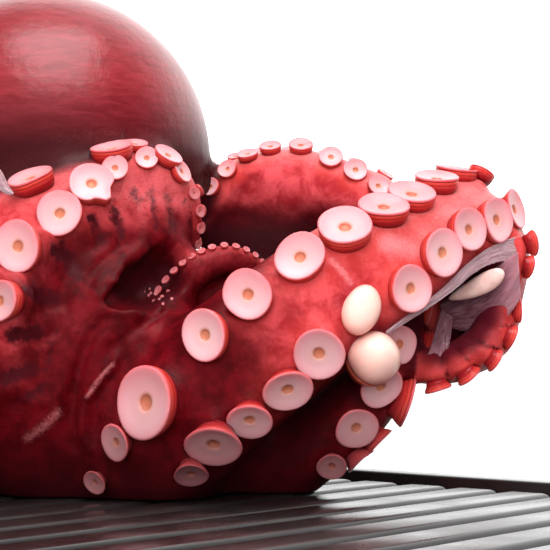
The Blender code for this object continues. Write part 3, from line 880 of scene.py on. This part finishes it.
skin.data.vertices.foreach_set("co", spots.ravel())
skin.data.update()
normals = np.empty(count * 3)
skin.data.vertices.foreach_get("normal", normals)
normals = normals.reshape(-1, 3)
view = on_view(spots)
shown = front & (normals[:, 1] < 0.2)
rise, dark, pale = np.zeros(count), np.zeros(count), np.zeros(count)
for height, width, gloom, pale_and_highlight, places in STROKES:
    weight = np.exp(-((stroke_reach(places) / width) ** 2)) * shown
    rise += height * weight
    dark = np.maximum(dark, gloom * weight)
    pale = np.maximum(pale, pale_and_highlight * weight)
# Fine creases fan out from the pocket's lower left end, and arcs run round it.
FAN = (106.0, 296.0)
bearing = np.arctan2(view[:, 1] - FAN[1], FAN[0] - view[:, 0])
span = np.hypot(view[:, 0] - FAN[0], view[:, 1] - FAN[1])
creases = np.zeros(count)
for pitch, size in ((7.0, 0.30), (12.0, 0.34), (19.0, 0.26), (31.0, 0.18)):
    bend = rng.uniform(0.0, 6.28, 3)
    creases += size * np.sin(bearing * pitch + bend[0] + 1.4 * np.sin(span / 34.0 + bend[1]))
arcs = np.zeros(count)
for pitch, size, phase in ((2.6, 0.2, 0.0), (4.1, 0.3, 1.0)):
    arcs += size * np.sin(span / pitch + 2.0 * bearing + phase)
region = shown * rising(span, 8.0, 14.0) * falling(span, 165.0, 50.0)
region *= falling(view[:, 0] + 0.5 * (view[:, 1] - 330.0), 168.0, 24.0)
region *= rising(view[:, 1], 232.0, 22.0)
rise += region * (creases * rising(span, 30.0, 40.0) + arcs * falling(span, 70.0, 40.0))
drape = np.zeros(count)
for pitch, size, phase in ((3.1, 0.22, 0.4), (5.2, 0.25, 2.0)):
    drape += size * np.sin((view[:, 0] - 0.12 * view[:, 1]) / pitch + phase)
drape *= shown * falling(np.abs(view[:, 0] - 158.0), 42.0, 12.0)
rise += drape * falling(np.abs(view[:, 1] - 215.0), 30.0, 14.0)
spots += normals * (rise * np.clip((near - 1.2) / 0.8, 0.0, 1.0))[:, None]
for name, seat, way, radius, face, foot, oval in suckers:
    if radius > 3.0:
        rise = (spots - face) @ way
        aside = np.linalg.norm(spots - face - rise[:, None] * way, axis=1)
        over = (aside < radius * 0.94) & (rise > -0.5 * radius) & (rise < radius)
        over &= owner == ARM_NUMBER[name]
        spots[over] -= way * (rise[over] + 0.5 * radius)[:, None]
spots[:, 2] = np.maximum(spots[:, 2], LOWEST)
skin.data.vertices.foreach_set("co", spots.ravel())
skin.data.update()


def paint_layer(piece, name, red, green, blue):
    """Store three values for each point of a piece."""
    layer = piece.data.color_attributes.new(name, "FLOAT_COLOR", "POINT")
    values = np.ones((len(piece.data.vertices), 4))
    values[:, 0], values[:, 1], values[:, 2] = red, green, blue
    layer.data.foreach_set("color", values.ravel())


def set_down(piece):
    """Turn a finished piece, set it on the ribs in metres and shade it smooth."""
    piece.data.transform(PLACED)
    only(piece)
    bpy.ops.object.shade_smooth()


def channels(tree, layer):
    """The three values of a painted layer."""
    parted = node(tree, "ShaderNodeSeparateColor")
    tree.links.new(node(tree, "ShaderNodeVertexColor", layer_name=layer).outputs["Color"], parted.inputs[0])
    return parted.outputs


x, y, z = spots.T
on_arm = falling(out, 1.9, 0.7)
around = rising(oral, -0.5, 1.3)
close = falling(near, 2.3, 1.3)
bag = np.linalg.norm((spots - BAG_MIDDLE) / BAG_SIZES, axis=1)
afar = rising(np.linalg.norm(spots - (-5.0, -20.0, 28.0), axis=1), 50.0, 46.0)
below = owner == ARM_NUMBER["front right"]
near_left = owner == ARM_NUMBER["front left"]
warmth_and_painted_light = on_arm * around * (0.04 + 0.96 * afar) + close * (0.04 + 0.62 * afar)
# The front right arm is darker: its own dark maroon skin, and painted shade from the near arm above it.
warmth_and_painted_light[below] *= 0.15
warmth_and_painted_light[owner == ARM_NUMBER["inner"]] += 0.2
# Painted highlight: the top of the front left arm is lighter.
warmth_and_painted_light += 0.5 * near_left * rising(z, 80.0, 14.0)
warmth_and_painted_light += 0.4 * falling(x, -8.0, 25.0) * rising(z, 28.0, 25.0)
# Painted light: upper skin right of the middle is lighter from 87 mm up, less so above 98 mm, lighting the
# arch of the rear right arm.
warmth_and_painted_light += (0.55 * rising(z, 87.0, 8.0) - 0.35 * rising(z, 98.0, 6.0)) * rising(x, 5.0, 8.0)
# Painted shade: skin inside the near arm's curl is darkened.
curl = np.linalg.norm((spots - (98.0, 0.0, 58.0)) / (27.0, 26.0, 27.0), axis=1)
curl_shade = falling(curl, 1.2, 0.4) * (y < 8.0) * rising(near, 0.9, 0.5)
# Painted highlight: the pale amount also lightens the upward faces of the far arms and the top of the front
# left arm.
skyward_highlight = rising(normals[:, 2], 0.2, 0.6)
ledge_highlight = near_left * rising(z, 82.0, 10.0)
pale = np.maximum(pale, on_arm * np.maximum(0.7 * afar * skyward_highlight * (1.0 - curl_shade), 0.5 * ledge_highlight))
paint_layer(skin, "where", curl_shade, np.clip(warmth_and_painted_light, 0.0, 1.0), close * afar * ~below)
on_bag = falling(bag, 1.12, 0.08)
# This layer carries the skin's blotches and pale marks, and with them painted crease shade and painted
# highlights.
paint_layer(skin, "marks", dark, pale, on_bag)
shade = on_bag * falling(z, 131.0, 22.0) * 0.92
arch = falling(z, 96.0, 11.0) * (x > 5.0) * (x < 72.0)
shade = np.maximum(shade, arch * rising(y, 2.0, 5.0) * (y < 60.0) * 0.95)
inside = np.hypot((view[:, 0] - 146.0) / 42.0, (view[:, 1] - 282.0) / 28.0)
shade = np.maximum(shade, 0.8 * falling(inside, 1.1, 0.3) * rising(lip_near, 1.8, 2.0) * shown)
shade = np.maximum(shade, 0.7 * below * rising(near, 1.1, 0.5))
shade = np.maximum(shade, falling(z, 26.0, 24.0) * (1.0 - 0.6 * afar) * 0.9)
paint_layer(skin, "shade", shade, shade, shade)
set_down(skin)

flesh, tree, shader = new_material("octopus skin")
place = node(tree, "ShaderNodeTexCoord").outputs["Object"]
curl_shade_amount, lightness, round_cups = channels(tree, "where")
blotch_and_crease_shade, pale_and_highlight_layer, bagged = channels(tree, "marks")
broad = noise(tree, 38.0, 4.0, 0.6, place, 0.4)
mottle = noise(tree, 150.0, 5.0, 0.65, place, 0.3)
grain = noise(tree, 900.0, 4.0, 0.6, place)
patches = remap(tree, mottle, 0.35, 0.65)
deep = mix(tree, patches, (0.055, 0.0010, 0.0024), (0.120, 0.0022, 0.0052))
bright = mix(tree, patches, (0.36, 0.016, 0.022), (0.60, 0.068, 0.080))
lightness_here = plus(tree, lightness, swing(tree, broad, 1.3))
colour = mix(tree, remap(tree, lightness_here, 0.05, 0.95), deep, bright)
colour = mix(tree, times(tree, round_cups, 0.55), colour, (0.68, 0.060, 0.042))
# Painted shade inside the curl.
colour = mix(tree, times(tree, curl_shade_amount, 0.88), colour, (0.085, 0.007, 0.014))
stretch = node(tree, "ShaderNodeMapping", [("Vector", place)], Scale=(1.0, 1.0, 5.0))
lines = noise(tree, 110.0, 5.0, 0.6, stretch.outputs["Vector"], 0.5)
bag_skin = mix(tree, remap(tree, lines, 0.3, 0.75), (0.17, 0.006, 0.010), (0.27, 0.018, 0.028))
colour = mix(tree, bagged, colour, bag_skin)
flecks = noise(tree, 420.0, 3.0, 0.6, place)
# Dark blotches of the skin, and painted shade along the creases of the strokes.
ragged = plus(tree, plus(tree, blotch_and_crease_shade, swing(tree, flecks, 1.1)), swing(tree, mottle, 1.1))
blotch_and_crease_mix = times(tree, remap(tree, ragged, 0.35, 0.9), remap(tree, blotch_and_crease_shade, 0.05, 0.3))
colour = mix(tree, blotch_and_crease_mix, colour, (0.050, 0.003, 0.006))
# Pale marks, and painted highlights on ridges and upward faces.
grit = swing(tree, noise(tree, 1300.0, 3.0, 0.7, place), 0.8)
pale_and_highlight = remap(tree, plus(tree, pale_and_highlight_layer, grit), 0.2, 1.1, 0.0, 0.8)
pale_and_highlight = times(tree, pale_and_highlight, remap(tree, pale_and_highlight_layer, 0.05, 0.3))
colour = mix(tree, pale_and_highlight, colour, (0.66, 0.20, 0.21))
shade = node(tree, "ShaderNodeVertexColor", layer_name="shade").outputs["Color"]
colour = mix(tree, shade, colour, (0.024, 0.0025, 0.004))
wet = plus(tree, times(tree, bagged, 0.95), remap(tree, lightness, 0.1, 1.0, 0.015, 0.26))
wet = times(tree, wet, remap(tree, shade, 0.0, 1.0, 1.0, 0.1))
relief = plus(tree, plus(tree, mottle, times(tree, grain, 0.25)), times(tree, lines, 0.4))
bump = node(tree, "ShaderNodeBump", [("Height", relief)], Strength=0.45, Distance=0.0006)
ripples = plus(tree, flecks, times(tree, mottle, 0.8))
film = node(tree, "ShaderNodeBump", [("Height", ripples)], Distance=0.0011)
tree.links.new(remap(tree, bagged, 0.0, 1.0, 0.8, 0.15), film.inputs["Strength"])
set_shader(
    tree, shader, Base_Color=colour, Roughness=0.42, IOR=1.22, Specular_IOR_Level=0.25,
    Subsurface_Weight=0.2, Subsurface_Radius=(1.0, 0.22, 0.16), Subsurface_Scale=0.002,
    Normal=bump.outputs["Normal"], Coat_Weight=wet, Coat_IOR=1.33, Coat_Normal=film.outputs["Normal"],
    Coat_Roughness=remap(tree, bagged, 0.0, 1.0, 0.12, 0.3),
)
clothe(skin, flesh)
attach(skin, "root")
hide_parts("octopus")

# Suckers
# Each sucker is a short muscular cup: a pale dished face with a tan pit, a thin red lip and a grooved
# orange-red skirt that sinks into the arm. No two are quite round.

# Half section of a cup from the pit to the skirt: zone of the colours, distance from the axis and height, in
# radii.
PROFILE = [
    (0.00, 0.00, -0.25), (0.06, 0.105, -0.245), (0.12, 0.175, -0.215), (0.17, 0.215, -0.165),
    (0.21, 0.25, -0.13), (0.27, 0.33, -0.12), (0.36, 0.47, -0.11), (0.46, 0.63, -0.075),
    (0.56, 0.80, -0.02), (0.63, 0.91, 0.02), (0.67, 0.965, 0.025), (0.70, 0.995, -0.01),
    (0.72, 1.00, -0.05), (0.745, 0.975, -0.085), (0.76, 0.955, -0.10), (0.78, 0.975, -0.13),
    (0.81, 0.985, -0.20), (0.83, 0.965, -0.24), (0.85, 0.975, -0.29), (0.90, 0.96, -0.38),
    (0.95, 0.93, -0.50), (1.00, 0.84, -0.72),
]
# One rim that faces up is frayed at its lower right: its arm and radius, the flap's bearing in degrees, and
# each bump of the rim as its size in radii, offset and half width in degrees.
FRAYED, FLAP = ("front left", 7.1), 150.0
FRAYS = ((0.26, 0.0, 11.0), (-0.16, 34.0, 15.0), (-0.10, -30.0, 10.0))


def fray(turn):
    """How far the frayed rim leaves its circle."""
    off = (math.degrees(turn) - FLAP + 180.0) % 360.0 - 180.0
    return sum(size * math.exp(-(((off - middle) / width) ** 2)) for size, middle, width in FRAYS)


def cups(name, wanted, profile, sides):
    """One mesh with a cup for each sucker, each bent out of round by its own seeded waves."""
    points, faces, zones, tints_and_shade = [], [], [], []
    for arm, seat, way, radius, face, foot, oval in wanted:
        aside, ahead = square_to(way)
        phase = rng.uniform(0.0, 2.0 * math.pi, 4)
        sway = rng.normal(0.0, 1.0, 4) * (0.032, 0.012, 0.010, 0.012)
        # Painted shade and painted highlight: cups that face up and the upper side of each face get a lower
        # tint, darker and pinker, and the lower side a higher one, whiter; the rest of the tint is random.
        tint_and_shade = 0.5 + 0.3 * rng.uniform(0.0, 1.0) - 0.5 * max(0.0, way[2])
        torn = (arm, round(radius, 1)) == FRAYED and way[2] > 0.3
        start = len(points)
        points.append(face + way * radius * profile[0][2])
        zones.append(profile[0][0])
        tints_and_shade.append(tint_and_shade)
        for zone, reach, rise in profile[1:]:
            narrowed = 1.0 - (1.0 - column(way)) * min(1.0, max(0.0, (zone - 0.76) / 0.15))
            for side in range(sides):
                turn = 2.0 * math.pi * side / sides
                wave = sum(s * math.sin((k + 2) * turn + p) for k, (s, p) in enumerate(zip(sway[:3], phase)))
                swell = 1.0 + wave * min(1.0, reach * 1.6)
                if torn and reach > 0.75:
                    swell += fray(turn)
                lift = sway[3] * 2.0 * math.sin(2 * turn + phase[3]) * reach
                ray = aside * math.cos(turn) + ahead * math.sin(turn) * oval
                points.append(face + ray * radius * reach * swell * narrowed + way * radius * (rise + lift))
                zones.append(zone)
                tints_and_shade.append(tint_and_shade - 0.4 * ray[2] * reach)
        rings = len(profile) - 1
        for side in range(sides):
            after = (side + 1) % sides
            faces.append((start, start + 1 + side, start + 1 + after))
            for ring in range(rings - 1):
                low = start + 1 + ring * sides
                high = low + sides
                faces.append((low + side, high + side, high + after, low + after))
        last = start + 1 + (rings - 1) * sides
        faces.append(tuple(last + side for side in range(sides)))
    made = mesh_piece(name, points, faces)
    paint_layer(made, "cup", np.array(zones), np.array(tints_and_shade), 1.0 if sides < 20 else 0.0)
    return made


large = [s for s in suckers if s[3] >= 3.0]
small = [s for s in suckers if s[3] < 3.0]
cup_piece = join(
    [cups("large suckers", large, PROFILE, 30), cups("small suckers", small, PROFILE[::2], 12)], "suckers"
)
set_down(cup_piece)
cup_skin, tree, shader = new_material("sucker")
place = node(tree, "ShaderNodeTexCoord").outputs["Object"]
zone, tint_and_shade, small_cup = channels(tree, "cup")
zone = plus(tree, zone, swing(tree, noise(tree, 260.0, 4.0, 0.6, place), 0.05))
# The dark stops at 0.755 and 0.835 lie in the groove under the lip and the groove of the skirt: painted
# shade.
colour = ramp(
    tree,
    zone,
    [
        (0.00, (0.60, 0.18, 0.10)),
        (0.11, (0.60, 0.20, 0.12)),
        (0.15, (0.52, 0.15, 0.09)),
        (0.20, (0.70, 0.34, 0.29)),
        (0.28, (0.73, 0.37, 0.37)),
        (0.48, (0.74, 0.37, 0.385)),
        (0.62, (0.73, 0.31, 0.33)),
        (0.68, (0.70, 0.19, 0.21)),
        (0.725, (0.62, 0.08, 0.09)),
        (0.755, (0.24, 0.01, 0.02)),
        (0.78, (0.66, 0.075, 0.052)),
        (0.82, (0.62, 0.055, 0.040)),
        (0.835, (0.36, 0.02, 0.02)),
        (0.86, (0.60, 0.045, 0.036)),
        (0.92, (0.38, 0.018, 0.020)),
        (1.00, (0.24, 0.008, 0.012)),
    ],
)
colour = mix(tree, times(tree, small_cup, 0.75), colour, (0.44, 0.070, 0.080))
# Random unevenness of the cups, with painted shade on their upper sides and on cups facing up, and a painted
# highlight on their lower sides.
uneven_and_shaded = mix(tree, remap(tree, tint_and_shade, 0.0, 1.0), (0.92, 0.74, 0.77), (1.0, 1.12, 1.14))
colour = mix(tree, 1.0, colour, uneven_and_shaded, "MULTIPLY")
# Painted shade: cups darken towards the bottom, from 40 mm up down to 12 mm.
height = node(tree, "ShaderNodeSeparateXYZ", [("Vector", place)]).outputs["Z"]
colour = mix(tree, remap(tree, height, 0.012, 0.040, 0.8, 0.0), colour, (0.15, 0.030, 0.036))
set_shader(
    tree, shader, Base_Color=colour, Roughness=0.3, Specular_IOR_Level=0.18, Subsurface_Weight=0.45,
    Subsurface_Radius=(1.0, 0.4, 0.3), Subsurface_Scale=0.0025, Coat_Weight=0.1, Coat_Roughness=0.2,
)
clothe(cup_piece, cup_skin)
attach(cup_piece, "root")
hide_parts("octopus")

# Swollen suckers
# Two suckers of the near arm have boiled out of shape: one is a white ball standing in its own orange skirt,
# the other a smooth, pear-shaped cream pad without a pit. Both grow from the arm.

BALL = [
    (0.00, 0.00, 0.86), (0.10, 0.18, 0.84), (0.18, 0.36, 0.77), (0.27, 0.54, 0.66), (0.36, 0.72, 0.50),
    (0.45, 0.86, 0.32), (0.54, 0.95, 0.13), (0.62, 0.985, -0.05), (0.68, 0.98, -0.18), (0.735, 0.95, -0.26),
    (0.755, 0.93, -0.29), (0.78, 0.96, -0.33), (0.82, 0.97, -0.42), (0.86, 0.94, -0.52), (0.92, 0.90, -0.66),
    (1.00, 0.80, -0.95),
]
PAD = [
    (0.00, 0.00, 0.34), (0.12, 0.28, 0.33), (0.25, 0.52, 0.29), (0.38, 0.72, 0.21), (0.50, 0.87, 0.09),
    (0.58, 0.96, -0.06), (0.64, 0.99, -0.22), (0.70, 0.96, -0.38), (0.74, 0.88, -0.55), (0.78, 0.80, -0.80),
]
ball_at, pad_at = EYE + sight(375.0, 357.0) * 480.0, seen(surface, 362.0, 309.0, 1.6)
swollen = join(
    [
        cups("ball", [("front", ball_at, unit((0.30, -0.86, 0.36)), 8.3, ball_at, ball_at, 1.0)], BALL, 36),
        cups("pad", [("front", pad_at, unit((0.15, -0.95, 0.2)), 5.9, pad_at, pad_at, 1.36)], PAD, 36),
    ],
    "swollen_suckers",
)
set_down(swollen)
cream, tree, shader = new_material("swollen sucker")
place = node(tree, "ShaderNodeTexCoord").outputs["Object"]
zone = channels(tree, "cup")[0]
zone = plus(tree, zone, swing(tree, noise(tree, 180.0, 4.0, 0.6, place), 0.10))
colour = ramp(
    tree,
    zone,
    [
        (0.00, (0.90, 0.62, 0.54)),
        (0.30, (0.89, 0.56, 0.48)),
        (0.50, (0.86, 0.46, 0.40)),
        (0.66, (0.82, 0.34, 0.28)),
        (0.735, (0.80, 0.26, 0.18)),
        (0.76, (0.45, 0.05, 0.04)),
        (0.80, (0.80, 0.16, 0.09)),
        (1.00, (0.72, 0.07, 0.05)),
    ],
)
set_shader(
    tree, shader, Base_Color=colour, Roughness=0.34, Subsurface_Weight=0.5,
    Subsurface_Radius=(1.0, 0.55, 0.4), Subsurface_Scale=0.003, Coat_Weight=0.4, Coat_Roughness=0.12,
)
clothe(swollen, cream)
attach(swollen, "root")
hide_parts("octopus")

# Torn web
# Where the near arm curls over, its web has split: a stringy silver edge under the arm, a cream lobe of bare
# flesh behind it, a flattened strip hanging down and a white shred at the far left. All grow from the skin.


def sheet(name, upper, lower, depths, thick, waves, ragged):
    """Closed thin sheet between two curves in the view; depths are distances from the camera in mm."""
    along, cross = 70, 9
    rows_up, rows_down, far = curve(upper, along), curve(lower, along), curve([(d,) for d in depths], along)
    points = []
    for side in (0.0, 1.0):
        for i in range(along):
            notch = 1.0 + ragged * (rng.uniform(-1.0, 1.0) if i % 2 else -0.3)
            for j in range(cross):
                share = j / (cross - 1)
                reach = share * (notch if share > 0.8 and side == 0.0 else 1.0)
                spot = rows_up[i] + (rows_down[i] - rows_up[i]) * reach
                ripple = waves * math.sin(9.0 * share + 0.9 * math.sin(i / 9.0)) * math.sin(math.pi * share)
                edge = thick * side * (0.35 + 0.65 * math.sin(math.pi * min(max(share, 0.06), 0.94)))
                points.append(EYE + sight(spot[0], spot[1]) * (far[i][0] + ripple + edge))
    faces, layer = [], along * cross
    for i in range(along - 1):
        for j in range(cross - 1):
            here = i * cross + j
            faces.append((here, here + 1, here + cross + 1, here + cross))
            faces.append(tuple(layer + k for k in (here, here + cross, here + cross + 1, here + 1)))
        for j in (0, cross - 1):
            here = i * cross + j
            faces.append((here, here + cross, layer + here + cross, layer + here))
    for i in (0, along - 1):
        for j in range(cross - 1):
            here = i * cross + j
            faces.append((here, here + 1, layer + here + 1, layer + here))
    made = mesh_piece(name, points, faces)
    share = np.tile(np.tile(np.linspace(0.0, 1.0, cross), along), 2)
    run = np.tile(np.repeat(np.linspace(0.0, 1.0, along), cross), 2)
    paint_layer(made, "sheet", share, run, 1.0 if name in ("inner_web", "strip") else 0.0)
    return made


EDGE = [
    (386, 331), (402, 319), (420, 306), (438, 292), (453, 278),
    (468, 263), (485, 250), (503, 241), (519, 236),
]
HEM = [
    (386, 335), (404, 324), (423, 312), (442, 299), (458, 287),
    (473, 274), (491, 264), (509, 262), (524, 272),
]
edge_depths = []
for px, py in EDGE:
    spot = seen(surface, px - 4.0, py - 5.0)
    edge_depths.append(np.linalg.norm(spot - EYE) if spot is not None else edge_depths[-1])
edge_depths = [d - 0.4 for d in edge_depths]
# Upper and lower side in the view, distances from the camera, thickness, height of the waves and raggedness.
WEB_SHEETS = (
    ("web_edge", EDGE, HEM, edge_depths, 0.9, 0.5, 0.06),
    (
        "strip",
        [(441, 310), (435, 332), (429, 351), (420, 369)],
        [(453, 317), (451, 335), (448, 352), (442, 378)],
        [512.0, 508.0, 505.0, 503.0], 1.3, 0.35, 0.05,
    ),
    (
        "shred",
        [(-6, 163), (2, 172), (9, 186), (14, 193)],
        [(-9, 184), (-2, 189), (6, 194), (12, 195)],
        [489.0, 489.0, 488.0, 487.0], 0.8, 0.4, 0.1,
    ),
    (
        "inner_web",
        [(440, 304), (462, 290), (484, 276), (503, 262), (518, 252)],
        [(444, 326), (466, 331), (488, 328), (506, 318), (521, 298)],
        [519.0, 517.0, 514.0, 510.5, 508.0], 1.0, 1.4, 0.03,
    ),
)
torn = join([sheet(*row) for row in WEB_SHEETS], "torn_web")
set_down(torn)
film, tree, shader = new_material("torn web")
across_sheet, along_sheet, purple_and_curl_shade = channels(tree, "sheet")
fibre = node(tree, "ShaderNodeCombineXYZ")
tree.links.new(times(tree, across_sheet, 14.0), fibre.inputs["X"])
tree.links.new(times(tree, along_sheet, 5.0), fibre.inputs["Y"])
strands = noise(tree, 1.6, 5.0, 0.65, fibre.outputs["Vector"], 0.4)
colour = ramp(
    tree,
    strands,
    [
        (0.30, (0.14, 0.045, 0.065)),
        (0.42, (0.32, 0.14, 0.17)),
        (0.52, (0.55, 0.36, 0.39)),
        (0.62, (0.28, 0.18, 0.21)),
        (0.68, (0.80, 0.66, 0.67)),
    ],
)
# The inside web and the hanging strip turn purple, dark over their first half and lighter towards their far
# end: their purple-maroon colour and painted shade inside the curl.
purple_web_and_shade = mix(tree, remap(tree, along_sheet, 0.45, 0.95), (0.10, 0.016, 0.034), (0.40, 0.16, 0.20))
purple_web_and_shade = mix(tree, remap(tree, strands, 0.45, 0.75, 0.0, 0.5), purple_web_and_shade, (0.52, 0.26, 0.30))
colour = mix(tree, times(tree, purple_and_curl_shade, 0.85), colour, purple_web_and_shade)
bump = node(tree, "ShaderNodeBump", [("Height", strands)], Strength=0.7, Distance=0.0005)
set_shader(
    tree, shader, Base_Color=colour, Roughness=0.32, Normal=bump.outputs["Normal"], Subsurface_Weight=0.3,
    Subsurface_Radius=(1.0, 0.5, 0.4), Subsurface_Scale=0.0015, Coat_Weight=0.5, Coat_Roughness=0.1,
)
clothe(torn, film)
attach(torn, "root")
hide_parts("octopus")

LOBE_REACH = 9.8
lobe = ball("bare_flesh", (0.0, 0.0, 0.0), (10.0, 2.2, 3.0))
for vertex in lobe.data.vertices:
    vertex.co.z *= 1.0 + 0.35 * vertex.co.x / LOBE_REACH
    vertex.co.z += 0.06 * vertex.co.x**2 / LOBE_REACH
lobe.data.transform(
    Matrix.Translation(EYE + sight(477, 287) * 508.5)
    @ Matrix.Rotation(math.radians(-27), 4, "Y")
    @ Matrix.Rotation(math.radians(-22), 4, "Z")
)
set_down(lobe)
bare, tree, shader = new_material("bare flesh")
place = node(tree, "ShaderNodeTexCoord").outputs["Object"]
cloud = noise(tree, 220.0, 4.0, 0.6, place)
colour = mix(tree, remap(tree, cloud, 0.35, 0.7), (0.84, 0.58, 0.52), (0.70, 0.38, 0.36))
set_shader(
    tree, shader, Base_Color=colour, Roughness=0.4, Subsurface_Weight=0.4,
    Subsurface_Radius=(1.0, 0.5, 0.4), Subsurface_Scale=0.002, Coat_Weight=0.3, Coat_Roughness=0.15,
)
clothe(lobe, bare)
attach(lobe, "root")
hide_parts("octopus")

# Stage
# White floor, white surroundings behind the animal and darker ones before it, a broad soft light above.

bpy.ops.object.select_all(action="DESELECT")
bpy.ops.mesh.primitive_plane_add(size=8.0, location=(0.0, 0.0, 0.0))
floor = bpy.context.object
floor.name = "floor"
floor_paint, tree, shader = new_material("white floor")
watched = node(tree, "ShaderNodeLightPath").outputs["Is Camera Ray"]
set_shader(
    tree, shader, Base_Color=(0.45, 0.45, 0.45, 1.0), Roughness=0.8, Specular_IOR_Level=0.2,
    Emission_Color=(1.0, 1.0, 1.0, 1.0), Emission_Strength=watched,
)
floor.data.materials.append(floor_paint)

world = bpy.data.worlds.new("studio")
bpy.context.scene.world = world
world.use_nodes = True
tree = world.node_tree
sky = tree.nodes["Background"]
way = node(tree, "ShaderNodeTexCoord").outputs["Generated"]
LIGHT_SIDE = TURN - 0.3
dot = node(tree, "ShaderNodeVectorMath", [(0, way)], operation="DOT_PRODUCT")
dot.inputs[1].default_value = (-math.sin(LIGHT_SIDE), math.cos(LIGHT_SIDE), 0.0)
behind = remap(tree, dot.outputs["Value"], 0.1, 0.8, 0.10, 2.0)
watched = node(tree, "ShaderNodeLightPath").outputs["Is Camera Ray"]
strength = math_node(tree, "MAXIMUM", behind, times(tree, watched, 1.3))
tree.links.new(strength, sky.inputs["Strength"])
sky.inputs["Color"].default_value = (1.0, 1.0, 1.0, 1.0)


def softbox(name, where, target, size, power):
    lamp = bpy.data.lights.new(name, "AREA")
    lamp.shape = "RECTANGLE"
    lamp.size, lamp.size_y = size
    lamp.energy = power
    made = bpy.data.objects.new(name, lamp)
    bpy.context.scene.collection.objects.link(made)
    made.location = where
    made.rotation_euler = (Vector(target) - Vector(where)).to_track_quat("-Z", "Y").to_euler()
    return made


def from_front(x, y, z):
    """A place given right, away and up from the octopus's middle, in metres, in the row frame."""
    return Matrix.Translation(SET_DOWN) @ Matrix.Rotation(TURN, 4, "Z") @ Vector((x, y, z))


softbox("top light", from_front(0.06, -0.22, 0.62), from_front(0.05, -0.19, 0.0), (0.42, 0.5), 4.8)
front_light = softbox(
    "front light", from_front(-0.05, -0.90, 0.38), from_front(0.0, 0.0, 0.05), (1.4, 1.0), 15.5
)
front_light.visible_glossy = False

camera_data = bpy.data.cameras.new("camera")
camera_data.sensor_width = 36.0
camera_data.lens = FOCAL / VIEW * camera_data.sensor_width
camera = bpy.data.objects.new("camera", camera_data)
bpy.context.scene.collection.objects.link(camera)
camera.location = from_front(*(EYE / 1000.0))
camera.rotation_euler = (math.pi / 2 + TILT, 0.0, TURN)
bpy.context.scene.camera = camera
bpy.context.scene.view_settings.view_transform = "Standard"
bpy.context.scene.view_settings.look = "None"
